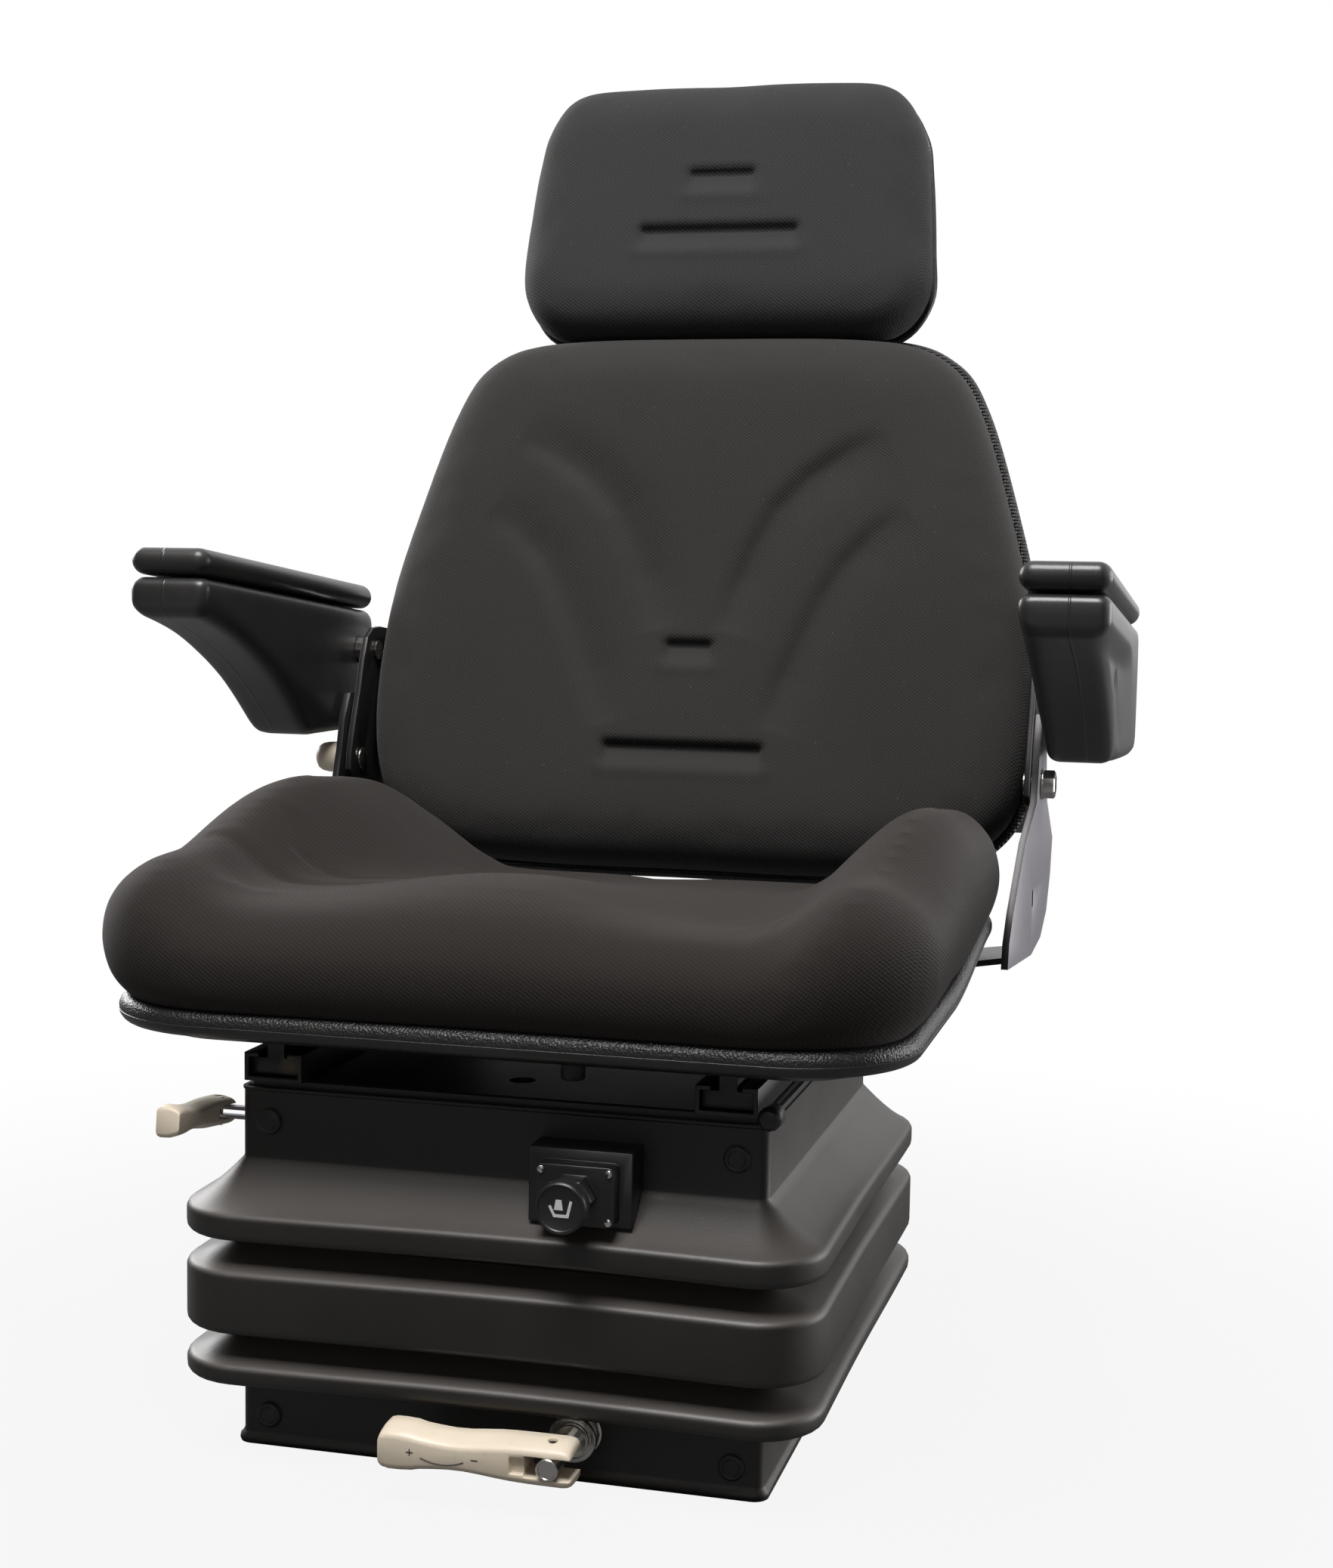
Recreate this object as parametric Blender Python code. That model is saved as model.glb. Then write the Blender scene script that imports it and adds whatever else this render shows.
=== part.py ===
"""Tractor seat on a scissor suspension.

A formed base pan and a top pan are held apart by a pair of crossed arms with rollers, two
tension springs and a damper, all inside a moulded gaiter. Slide rails on the top pan carry
the seat pan with its cushion, the reclining backrest, the headrest and two folding armrests.

Metres, +Z up. The origin is the middle of the base's underside and the seat faces -Y.
"""

import math

import bmesh
import bpy
from mathutils import Matrix, Vector

for old in list(bpy.data.objects):
    bpy.data.objects.remove(old, do_unlink=True)

# Clearances
FIT = 0.0003
PLAY = 0.0025

# Gaiter
COLLAR_HALF_WIDTH = 0.150
COLLAR_HALF_DEPTH = 0.148
COLLAR_CORNER = 0.006
GAITER_WALL = 0.003
GAITER_HEIGHT = 0.2037
LOWER_COLLAR_HEIGHT = 0.041
GROOVE_REACH = 0.005
FOLD_REACH = 0.032
FOLD_EDGE = 0.003
FOLDS = ((0.048, 0.054), (0.0765, 0.1065), (0.129, 0.139))
SKIRT_TOP = 0.164

# Pans and channels
SHEET = 0.0025
PLATE = 0.003
BASE_FLANGE_HEIGHT = 0.040
TOP_FLANGE_DROP = 0.039
TOP_PLATE_RISE = 0.0018
TOP_HOLE_RADIUS = 0.0075
CHANNEL_WEB_X = 0.130
CHANNEL_WIDTH = 0.0225
CHANNEL_FRONT = -0.140
CHANNEL_REAR = 0.135
PLUG_HEAD_RADIUS = 0.007
PLUG_SHANK_RADIUS = 0.003
PLUG_HEAD_HEIGHT = 0.0022
PLUG_X = 0.133
LOWER_PLUG_HEIGHT = 0.0175
UPPER_PLUG_HEIGHT = 0.185

# Scissor
ARM_LENGTH = 0.250
ARM_RADIUS = 0.012
ARM_THICKNESS = 0.006
OUTER_ARM_X = 0.0965
INNER_ARM_X = 0.0870
PIVOT_Y = 0.112
LOWER_PIVOT_HEIGHT = 0.045
SHAFT_RADIUS = 0.006
ROLLER_RADIUS = 0.009
ROLLER_WIDTH = 0.016
TRAVEL = 0.080

# Springs and weight adjuster
SPINDLE_X = 0.048
SPINDLE_HEIGHT = 0.028
SPINDLE_RADIUS = 0.0055
SPINDLE_FRONT = -0.205
SPINDLE_REAR = 0.104
BUSH_RADIUS = 0.0085
SPRING_SPREAD = 0.024
SPRING_RADIUS = 0.0088
SPRING_WIRE = 0.0044
SPRING_TURNS = 9
SPRING_PITCH = 0.0114
TRAVELLER_Y = 0.082
TRAVELLER_DEPTH = 0.016
TRAVELLER_HALF_WIDTH = 0.036
YOKE_WIDTH = 0.010
YOKE_DEPTH = 0.012
SPRING_HOOK = 0.010

# Damper
DAMPER_X = -0.035
DAMPER_Y = 0.030
DAMPER_TUBE_RADIUS = 0.014
DAMPER_BORE_RADIUS = 0.012
DAMPER_ROD_RADIUS = 0.005
DAMPER_END = 0.006
DAMPER_PISTON = 0.006

# Cream handles
HANDLE_LENGTH = 0.106
HANDLE_DEPTH = 0.020
HANDLE_FORK_GAP = 0.0118
HANDLE_FORK_REACH = 0.024
HANDLE_PIN_RADIUS = 0.0025
HANDLE_PIN_SETBACK = 0.012
HANDLE_Y = -0.195
LEVER_X = -0.174
LEVER_Y = -0.126
LEVER_HEIGHT = 0.183
LEVER_SCALE = 0.68
LEVER_TILT = math.radians(-7)
LEVER_STRAP_WIDTH = 0.008
LEVER_STRAP_THICKNESS = 0.002
LEVER_HOLE_RADIUS = 0.009
LEVER_STUB_RADIUS = 0.004

# Height control
KNOB_X = 0.0535
KNOB_HEIGHT = 0.167
KNOB_RADIUS = 0.014
KNOB_FACE_Y = -0.207
KNOB_BOX_FRONT = -0.180
KNOB_PLATE_FRONT = -0.170

# Slide rails
RAIL_X = 0.128
RAIL_WIDTH = 0.034
RAIL_HEIGHT = 0.016
RAIL_LIP = 0.006
RAIL_FRONT = -0.155
RAIL_REAR = 0.170
RAIL_NECK = 0.010
RAIL_FLANGE = 0.010
RAIL_RISE = 0.0075
RAIL_INSET = 0.004

# Slide lever
SLIDE_LEVER_X = 0.154
SLIDE_LEVER_HEIGHT = 0.2125
SLIDE_LEVER_RADIUS = 0.0023
SLIDE_LEVER_FRONT = -0.165
SLIDE_PIVOT_Y = 0.030
SLIDE_PIN_RADIUS = 0.0025
SLIDE_EYE_WIDTH = 0.004

# Seat pan and cushion
PAN_HALF_WIDTH = 0.227
PAN_FRONT = -0.196
PAN_REAR = 0.235
PAN_CORNER = 0.070
PAN_FLOOR = 0.003
RIM_RADIUS = 0.0075
RIM_HEIGHT = 0.2465
RIM_SIDE_RISE = 0.020
PAN_DISH = 0.030
CUSHION_OVERHANG = 0.001
CUSHION_REAR_GAP = 0.045
CUSHION_TOP = 0.312
CUSHION_BOLSTER = 0.038
CUSHION_REAR_DROP = 0.042
CUSHION_VALLEY = 0.010

# Side brackets and recline pivot
BRACKET_X = 0.244
BRACKET_THICKNESS = 0.0045
BRACKET_SPLAY = 0.11
RECLINE_Y = 0.245
RECLINE_HEIGHT = 0.353
RECLINE_BOLT_RADIUS = 0.006
RECLINE_KNOB_RADIUS = 0.014

# Backrest, in its own leaning frame
LEAN = math.radians(12.1)
BACK_FOOT_Y = 0.225
BACK_FOOT_HEIGHT = 0.285
BACK_RIM_DEPTH = 0.045
BACK_WALL = 0.004
BACK_DEPTH = 0.083
BACK_PLATE_X = 0.2385
BACK_PLATE_THICKNESS = 0.004
ARM_PIN_HEIGHT = 0.152
ARM_PIN_DEPTH = 0.0185
ARM_PIN_RADIUS = 0.005
ARM_PIN_REACH = 0.030

# Headrest, in the same frame
POST_X = 0.055
POST_RADIUS = 0.006
POST_DEPTH = 0.054
POST_FOOT = 0.225
HEADREST_FOOT = 0.386
HEADREST_TALL = 0.191
HEADREST_FRONT = 0.004
HEADREST_DEPTH = 0.056

# Armrests
ARMREST_X = 0.252
ARMREST_WIDTH = 0.054
ARMREST_ROUND = 0.007
ARMREST_GROOVE = 0.0175

TOP_UNDERSIDE = GAITER_HEIGHT + TOP_PLATE_RISE
TOP_SURFACE = TOP_UNDERSIDE + PLATE
ROLLER_ROOM = 2 * (ROLLER_RADIUS + PLAY - FIT)
UPPER_PIVOT_HEIGHT = TOP_UNDERSIDE - FIT - SHEET - ROLLER_ROOM / 2
SCISSOR_RISE = UPPER_PIVOT_HEIGHT - LOWER_PIVOT_HEIGHT
AXLE_Y = PIVOT_Y - math.sqrt(ARM_LENGTH**2 - SCISSOR_RISE**2)
EAR_X = RAIL_X + RAIL_WIDTH / 2 + PLAY
RAIL_TOP = TOP_SURFACE + FIT + RAIL_HEIGHT + RAIL_RISE
PAN_UNDERSIDE = RAIL_TOP + FIT
SPRING_HEIGHT = LOWER_PIVOT_HEIGHT + 0.003
YOKE_REAR = AXLE_Y + SHAFT_RADIUS + 0.004 + YOKE_DEPTH
FLOOR_TOP = PAN_UNDERSIDE + PAN_FLOOR
DAMPER_FLOOR = PLATE + FIT + DAMPER_END
DAMPER_TUBE_HEIGHT = DAMPER_FLOOR + PLAY + TRAVEL + DAMPER_PISTON + PLAY + DAMPER_END


def plain(points):
    return [Vector(point) for point in points]


def skin(rings, loop=False):
    """A closed surface through rings of points: end faces filled, or the rings run round."""
    bm = bmesh.new()
    lines = [[bm.verts.new(point) for point in ring] for ring in rings]
    pairs = list(zip(lines, lines[1:]))
    if loop:
        pairs.append((lines[-1], lines[0]))
    else:
        bm.faces.new(lines[0][::-1])
        bm.faces.new(lines[-1])
    for lower, upper in pairs:
        for i, vert in enumerate(lower):
            after = (i + 1) % len(lower)
            bm.faces.new((vert, lower[after], upper[after], upper[i]))
    bmesh.ops.recalc_face_normals(bm, faces=bm.faces)
    return bm


def prism(outline, axis, low, high):
    """The outline, given in the plane square to the axis, carried from low to high along it."""
    place = {
        "X": lambda a, b, t: (t, a, b),
        "Y": lambda a, b, t: (a, t, b),
        "Z": lambda a, b, t: (a, b, t),
    }[axis]
    return skin([[place(a, b, t) for a, b in outline] for t in (low, high)])


def box(low, high):
    return prism(((low[0], low[1]), (high[0], low[1]), (high[0], high[1]), (low[0], high[1])),
                 "Z", low[2], high[2])


def lathe(profile, axis, centre, steps=12):
    """A turned piece: profile of (radius, distance along the axis), closed on itself."""
    turn = {"X": Matrix.Rotation(math.pi / 2, 3, "Y"), "Z": Matrix.Identity(3),
            "Y": Matrix.Rotation(-math.pi / 2, 3, "X")}[axis]
    bm = bmesh.new()
    verts = [bm.verts.new((radius, 0, along)) for radius, along in profile]
    ends = zip(verts, verts[1:] + verts[:1])
    edges = [bm.edges.new(pair) for pair in ends if pair[0].co.x > 0 or pair[1].co.x > 0]
    bmesh.ops.spin(bm, geom=verts + edges, cent=(0, 0, 0), axis=(0, 0, 1),
                   angle=2 * math.pi, steps=steps, use_merge=True)
    bmesh.ops.remove_doubles(bm, verts=bm.verts, dist=1e-6)
    bmesh.ops.rotate(bm, cent=(0, 0, 0), matrix=turn, verts=bm.verts)
    bmesh.ops.translate(bm, vec=centre, verts=bm.verts)
    bmesh.ops.recalc_face_normals(bm, faces=bm.faces)
    return bm


def rod(radius, axis, centre, low, high, steps=12):
    """A plain round bar along an axis, from low to high measured from the centre."""
    return lathe(((0, low), (radius, low), (radius, high), (0, high)), axis, centre, steps)


def tube(path, radius, sides=10):
    """A round bar bent along a path, its frame carried along without twist."""
    points = plain(path)
    last = len(points) - 1
    tangents = [(points[min(i + 1, last)] - points[max(i - 1, 0)]).normalized()
                for i in range(last + 1)]
    normal = tangents[0].orthogonal().normalized()
    rings = []
    for i, (point, tangent) in enumerate(zip(points, tangents)):
        if i:
            normal.rotate(tangents[i - 1].rotation_difference(tangent))
        side = tangent.cross(normal)
        angles = [2 * math.pi * k / sides for k in range(sides)]
        rings.append([point + radius * (normal * math.cos(a) + side * math.sin(a)) for a in angles])
    return skin(rings)


def rounded_rectangle(low, high, radius, steps=3):
    """Corner arcs of a rectangle, counter-clockwise from the high corner."""
    corners = ((high[0] - radius, high[1] - radius), (low[0] + radius, high[1] - radius),
               (low[0] + radius, low[1] + radius), (high[0] - radius, low[1] + radius))
    points = []
    for quarter, (x, y) in enumerate(corners):
        for k in range(steps + 1):
            angle = math.pi / 2 * (quarter + k / steps)
            points.append((x + radius * math.cos(angle), y + radius * math.sin(angle)))
    return points


def bar(start, end, start_radius, end_radius, steps=6):
    """A strap with round ends about two points."""
    run = math.atan2(end[1] - start[1], end[0] - start[0])
    points = []
    for centre, radius, first in ((end, end_radius, -math.pi / 2), (start, start_radius, math.pi / 2)):
        for k in range(steps + 1):
            angle = run + first + math.pi * k / steps
            points.append((centre[0] + radius * math.cos(angle), centre[1] + radius * math.sin(angle)))
    return points


def smooth_loop(points, steps=3):
    """A closed curve through the points, each span bent by its neighbours."""
    spots = [Vector(point) for point in points]
    count = len(spots)
    curve = []
    for i in range(count):
        a, b, c, d = (spots[(i + k) % count] for k in (-1, 0, 1, 2))
        for k in range(steps):
            t = k / steps
            curve.append(0.5 * (2 * b + (c - a) * t + (2 * a - 5 * b + 4 * c - d) * t**2
                                + (3 * b - a - 3 * c + d) * t**3))
    return curve


def inset(outline, distance):
    """Each point of a counter-clockwise outline moved inwards, square to its neighbours."""
    count = len(outline)
    moved = []
    for i, point in enumerate(outline):
        before = Vector(outline[i - 1])
        along = (Vector(outline[(i + 1) % count]) - before).normalized()
        moved.append((point[0] - along.y * distance, point[1] + along.x * distance))
    return moved


def offset_line(points, distance):
    """An open line of points moved to its left by the distance, mitred at each bend."""
    spots = [Vector(point) for point in points]
    moved = []
    for i, spot in enumerate(spots):
        runs = [(spots[k + 1] - spots[k]).normalized() for k in (i - 1, i) if 0 <= k < len(spots) - 1]
        normals = [Vector((-run.y, run.x)) for run in runs]
        mean = sum(normals, Vector((0, 0))).normalized()
        moved.append(spot + mean * distance / max(mean.dot(normals[0]), 0.5))
    return moved


def finish(name, color, roughness, metallic=0.0):
    material = bpy.data.materials.new(name)
    material.use_nodes = True
    shader = material.node_tree.nodes["Principled BSDF"]
    shader.inputs["Base Color"].default_value = (*color, 1.0)
    shader.inputs["Roughness"].default_value = roughness
    shader.inputs["Metallic"].default_value = metallic
    material.diffuse_color = (*color, 1.0)
    return material


FINISHES = {
    "black paint": ((0.012, 0.012, 0.013), 0.45, 0.0),
    "grey steel": ((0.38, 0.36, 0.40), 0.42, 0.35),
    "bright steel": ((0.60, 0.58, 0.55), 0.25, 1.0),
    "gaiter": ((0.016, 0.014, 0.013), 0.55, 0.0),
    "black plastic": ((0.010, 0.010, 0.011), 0.40, 0.0),
    "cream plastic": ((0.62, 0.52, 0.40), 0.45, 0.0),
    "white nylon": ((0.70, 0.68, 0.62), 0.50, 0.0),
    "fabric": ((0.030, 0.028, 0.028), 0.95, 0.0),
    "pan vinyl": ((0.018, 0.018, 0.018), 0.55, 0.0),
    "moulded foam": ((0.022, 0.022, 0.023), 0.60, 0.0),
}


def part(name, bm, surface, origin=(0, 0, 0)):
    """One sub-part: the mesh is given in place, and the object's origin is set on its axis."""
    bmesh.ops.translate(bm, vec=-Vector(origin), verts=bm.verts)
    mesh = bpy.data.meshes.new(name)
    bm.to_mesh(mesh)
    bm.free()
    mesh.shade_smooth()
    mesh.set_sharp_from_angle(angle=math.radians(35))
    made = bpy.data.objects.new(name, mesh)
    made.location = origin
    made.data.materials.append(finish(name, *FINISHES[surface]))
    bpy.context.collection.objects.link(made)
    return made


def helper(target, bm, operation):
    """A hidden tool body for one Boolean on the target."""
    mesh = bpy.data.meshes.new(target.name + "_tool")
    bm.to_mesh(mesh)
    bm.free()
    tool = bpy.data.objects.new(mesh.name, mesh)
    tool.hide_render = True
    tool.display_type = "WIRE"
    bpy.context.collection.objects.link(tool)
    tool.parent = target
    tool.matrix_parent_inverse = Matrix.Translation(-target.location)
    step = target.modifiers.new(operation.title(), "BOOLEAN")
    step.operation = operation
    step.object = tool
    return tool


def cut(target, *bodies):
    for bm in bodies:
        helper(target, bm, "DIFFERENCE")


def fuse(target, *bodies):
    for bm in bodies:
        helper(target, bm, "UNION")


def round_edges(target, width, segments=2, angle=40):
    """Bevels the sharp edges of a part, before its cuts."""
    step = target.modifiers.new("Round", "BEVEL")
    step.width = width
    step.segments = segments
    step.limit_method = "ANGLE"
    step.angle_limit = math.radians(angle)
    step.harden_normals = False
    return target


def axis_frame(name, place, *pieces):
    """An empty on a joint's axis that carries its pieces."""
    empty = bpy.data.objects.new(name, None)
    empty.location = place
    empty.empty_display_size = 0.02
    bpy.context.collection.objects.link(empty)
    for piece in pieces:
        piece.parent = empty
        piece.matrix_parent_inverse = Matrix.Translation(-Vector(place))
    return empty


def collar_ring(reach, height, steps=3):
    """The gaiter's plan outline at one height, moved out by the reach."""
    half = (COLLAR_HALF_WIDTH + reach, COLLAR_HALF_DEPTH + reach)
    outline = rounded_rectangle((-half[0], -half[1]), half, COLLAR_CORNER + reach, steps)
    return [(x, y, height) for x, y in outline]


# Gaiter: a moulded bellows with plain collars at its top and bottom


def gaiter_profile():
    """The outer wall from the bottom up, as (reach beyond the collar, height)."""
    line = [(0.0025, 0.0005), (0.0025, 0.004), (0.0, 0.006), (0.0, LOWER_COLLAR_HEIGHT)]
    for low, high in FOLDS:
        line += [(FOLD_REACH - FOLD_EDGE, low - FOLD_EDGE), (FOLD_REACH, low), (FOLD_REACH, high)]
        line += [(FOLD_REACH - FOLD_EDGE, high + FOLD_EDGE)]
        if high != FOLDS[-1][1]:
            following = FOLDS[[fold[1] for fold in FOLDS].index(high) + 1][0]
            line += [(GROOVE_REACH, (high + following) / 2)]
    return line + [(0.0, SKIRT_TOP), (0.0, GAITER_HEIGHT)]


def front_bore(x, height, radius, low, high, steps=8):
    """A round cutter through the front or rear wall, from low to high in Y."""
    return rod(radius, "Y", (x, 0, height), low, high, steps)


def make_gaiter():
    outer = gaiter_profile()
    inner = offset_line(outer, GAITER_WALL)[::-1]
    rings = [collar_ring(reach, height) for reach, height in outer + [tuple(p) for p in inner]]
    gaiter = part("gaiter", skin(rings, loop=True), "gaiter")
    hole = PLUG_SHANK_RADIUS + FIT
    reach = COLLAR_HALF_DEPTH + 0.01
    inside = COLLAR_HALF_DEPTH - 0.01
    for height in (LOWER_PLUG_HEIGHT, UPPER_PLUG_HEIGHT):
        for x in (-PLUG_X, PLUG_X):
            cut(gaiter, front_bore(x, height, hole, -reach, -inside))
            cut(gaiter, front_bore(x, height, hole, inside, reach))
    cut(gaiter, front_bore(SPINDLE_X, SPINDLE_HEIGHT, BUSH_RADIUS + FIT, -reach, -inside, 16))
    wall = rod(LEVER_HOLE_RADIUS, "X", (0, LEVER_Y, LEVER_HEIGHT),
               -COLLAR_HALF_WIDTH - 0.01, -COLLAR_HALF_WIDTH + 0.01, 16)
    cut(gaiter, wall)
    return gaiter


# Base: pan, channels, shaft, bush and damper tube


def tray(name, floor, lip, drop):
    """A pan pressed from sheet, floor first: lip is the free edge's height."""
    half = (COLLAR_HALF_WIDTH - GAITER_WALL - FIT, COLLAR_HALF_DEPTH - GAITER_WALL - FIT)
    corner = 2 * SHEET
    outer = rounded_rectangle((-half[0], -half[1]), half, corner)
    inner = inset(outer, drop)
    up = 1 if lip > floor else -1
    back = floor + up * PLATE
    rings = [[(x, y, floor) for x, y in inset(outer, PLATE / 3)],
             [(x, y, floor + up * PLATE / 3) for x, y in outer],
             [(x, y, lip) for x, y in outer],
             [(x, y, lip) for x, y in inner],
             [(x, y, back) for x, y in inner]]
    return part(name, skin(rings), "black paint")


def plug(x, height, side):
    """A push-in button plug whose head sits outside the gaiter; side is -1 at the front."""
    wall = COLLAR_HALF_DEPTH + FIT
    head = ((0, wall + PLUG_HEAD_HEIGHT), (PLUG_HEAD_RADIUS * 0.6, wall + PLUG_HEAD_HEIGHT),
            (PLUG_HEAD_RADIUS, wall + PLUG_HEAD_HEIGHT / 3), (PLUG_HEAD_RADIUS, wall),
            (PLUG_SHANK_RADIUS, wall), (PLUG_SHANK_RADIUS, wall - GAITER_WALL - 3 * FIT - SHEET / 2),
            (0, wall - GAITER_WALL - 3 * FIT - SHEET / 2))
    if side < 0:
        head = tuple((radius, -along) for radius, along in head)
    return lathe(head, "Y", (x, 0, height), 12)


def add_plugs(pan, height):
    for side in (-1, 1):
        for x in (-PLUG_X, PLUG_X):
            fuse(pan, plug(x, height, side))


def mirrored(outline, side):
    return [(side * a, b) for a, b in outline]


def base_channel(side, word):
    """Tall folded channel with a welded roller track half way up."""
    web = CHANNEL_WEB_X
    lip = web - CHANNEL_WIDTH
    floor = PLATE + FIT
    track = LOWER_PIVOT_HEIGHT - ROLLER_ROOM / 2
    roof = LOWER_PIVOT_HEIGHT + ROLLER_ROOM / 2
    outline = ((lip, floor), (web, floor), (web, roof + SHEET), (lip, roof + SHEET), (lip, roof),
               (web - SHEET, roof), (web - SHEET, track), (lip, track), (lip, track - SHEET),
               (web - SHEET, track - SHEET), (web - SHEET, floor + SHEET), (lip, floor + SHEET))
    channel = part("base_channel_" + word,
                   prism(mirrored(outline, side), "Y", CHANNEL_FRONT, CHANNEL_REAR), "black paint")
    cut(channel, rod(SHAFT_RADIUS + FIT, "X", (side * web, PIVOT_Y, LOWER_PIVOT_HEIGHT), -0.01, 0.01))
    return channel


def upper_channel(side, word):
    """Folded channel under the top pan that the upper rollers run in."""
    web = CHANNEL_WEB_X
    lip = web - CHANNEL_WIDTH
    top = TOP_UNDERSIDE - FIT
    roof = top - SHEET
    track = roof - ROLLER_ROOM
    outline = ((lip, top), (web, top), (web, track - SHEET), (lip, track - SHEET), (lip, track),
               (web - SHEET, track), (web - SHEET, roof), (lip, roof))
    channel = part("upper_channel_" + word,
                   prism(mirrored(outline, side), "Y", CHANNEL_FRONT, CHANNEL_REAR), "black paint")
    cut(channel, rod(SHAFT_RADIUS + FIT, "X", (side * web, PIVOT_Y, UPPER_PIVOT_HEIGHT), -0.01, 0.01))
    if side < 0:
        cut(channel, rod(LEVER_STUB_RADIUS + FIT, "X", (-web, LEVER_Y, LEVER_HEIGHT), -0.01, 0.01))
    return channel


def pivot_shaft(name, height):
    """Cross shaft through both channel webs, with a shoulder head outside each."""
    end = CHANNEL_WEB_X + FIT
    head = end + 0.003
    profile = ((0, -head), (SHAFT_RADIUS + 0.002, -head), (SHAFT_RADIUS + 0.002, -end),
               (SHAFT_RADIUS, -end), (SHAFT_RADIUS, end), (SHAFT_RADIUS + 0.002, end),
               (SHAFT_RADIUS + 0.002, head), (0, head))
    return part(name, lathe(profile, "X", (0, PIVOT_Y, height)), "bright steel",
                (0, PIVOT_Y, height))


def make_base():
    pan = tray("base_pan", 0.0, BASE_FLANGE_HEIGHT, SHEET)
    add_plugs(pan, LOWER_PLUG_HEIGHT)
    inside = COLLAR_HALF_DEPTH - 0.01
    cut(pan, front_bore(SPINDLE_X, SPINDLE_HEIGHT, BUSH_RADIUS + FIT,
                        -COLLAR_HALF_DEPTH - 0.01, -inside, 16))
    for x in (-0.070, 0.070):
        for y in (-0.100, 0.125):
            cut(pan, rod(0.0045, "Z", (x, y, 0), -0.01, 0.01, 12))
    wall = -COLLAR_HALF_DEPTH
    inner_wall = wall + GAITER_WALL + FIT + SHEET
    bore = SPINDLE_RADIUS + FIT
    profile = ((bore, wall - 0.0055), (0.0100, wall - 0.0055), (0.0100, wall - 0.0033),
               (0.0125, wall - 0.0033), (0.0125, wall - FIT), (BUSH_RADIUS, wall - FIT),
               (BUSH_RADIUS, inner_wall + 0.0015), (bore, inner_wall + 0.0015))
    bush = part("spindle_bush", lathe(profile, "Y", (SPINDLE_X, 0, SPINDLE_HEIGHT)), "black plastic")
    floor = PLATE + FIT
    top = DAMPER_TUBE_HEIGHT
    gland = DAMPER_ROD_RADIUS + FIT
    profile = ((0, floor), (DAMPER_TUBE_RADIUS, floor), (DAMPER_TUBE_RADIUS, top), (gland, top),
               (gland, top - DAMPER_END), (DAMPER_BORE_RADIUS, top - DAMPER_END),
               (DAMPER_BORE_RADIUS, DAMPER_FLOOR), (0, DAMPER_FLOOR))
    damper = part("damper_tube", lathe(profile, "Z", (DAMPER_X, DAMPER_Y, 0)), "black paint")
    return [pan, base_channel(-1, "left"), base_channel(1, "right"),
            pivot_shaft("lower_pivot_shaft", LOWER_PIVOT_HEIGHT), bush, damper, make_gaiter()]


# Upper frame: pan, channels, shaft, damper rod, control box and lower rails


def make_upper_frame():
    pan = tray("top_pan", TOP_SURFACE, TOP_SURFACE - TOP_FLANGE_DROP, SHEET)
    add_plugs(pan, UPPER_PLUG_HEIGHT)
    cut(pan, rod(TOP_HOLE_RADIUS, "Z", (0.0, -0.105, TOP_SURFACE), -0.01, 0.01))
    cut(pan, rod(LEVER_HOLE_RADIUS, "X", (0, LEVER_Y, LEVER_HEIGHT),
                 -COLLAR_HALF_WIDTH, -COLLAR_HALF_WIDTH + 0.01))
    for x in (-0.050, 0.050):
        cut(pan, prism(rounded_rectangle((x - 0.025, 0.0), (x + 0.025, 0.070), 0.010), "Z",
                       TOP_UNDERSIDE - 0.01, TOP_SURFACE + 0.01))
    head = TOP_UNDERSIDE - FIT
    foot = DAMPER_TUBE_HEIGHT - DAMPER_END - PLAY
    piston = DAMPER_BORE_RADIUS - FIT
    low = foot - DAMPER_PISTON
    profile = ((0, low), (piston, low), (piston, foot), (DAMPER_ROD_RADIUS, foot),
               (DAMPER_ROD_RADIUS, head - 0.008), (0.011, head - 0.008), (0.011, head), (0, head))
    rod_piece = part("damper_rod", lathe(profile, "Z", (DAMPER_X, DAMPER_Y, 0)), "bright steel",
                     (DAMPER_X, DAMPER_Y, UPPER_PIVOT_HEIGHT))
    return [pan, upper_channel(-1, "left"), upper_channel(1, "right"),
            pivot_shaft("upper_pivot_shaft", UPPER_PIVOT_HEIGHT), rod_piece, make_control_box(),
            lower_rail(-1, "left"), lower_rail(1, "right")]


def make_control_box():
    """Housing of the height control: bevelled box on a plate, its back cut to the gaiter's skirt."""
    wall = -COLLAR_HALF_DEPTH - FIT
    slope = (SKIRT_TOP - FOLDS[-1][1] - FOLD_EDGE) / (FOLD_REACH - FOLD_EDGE)
    top = KNOB_HEIGHT + 0.022
    low = SKIRT_TOP + 0.001 - slope * (wall - KNOB_PLATE_FRONT)
    outline = ((wall, SKIRT_TOP + 0.001), (wall, top), (KNOB_PLATE_FRONT, top), (KNOB_PLATE_FRONT, low))
    housing = part("control_box", prism(outline, "X", KNOB_X - 0.0285, KNOB_X + 0.0285), "black plastic")
    front = prism(rounded_rectangle((KNOB_X - 0.0215, KNOB_HEIGHT - 0.016),
                                    (KNOB_X + 0.0215, KNOB_HEIGHT + 0.016), 0.003, 2),
                  "Y", KNOB_PLATE_FRONT + 0.002, KNOB_BOX_FRONT)
    nut = lathe(((0, 0.004), (0.0125, 0.004), (0.0125, -0.009), (0.0115, -0.011), (0, -0.011)), "Y",
                (KNOB_X, KNOB_BOX_FRONT, KNOB_HEIGHT), 6)
    fuse(housing, front, nut)
    cut(housing, rod(0.0065, "Y", (KNOB_X, KNOB_BOX_FRONT, KNOB_HEIGHT), -0.02, 0.016))
    return housing


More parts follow.
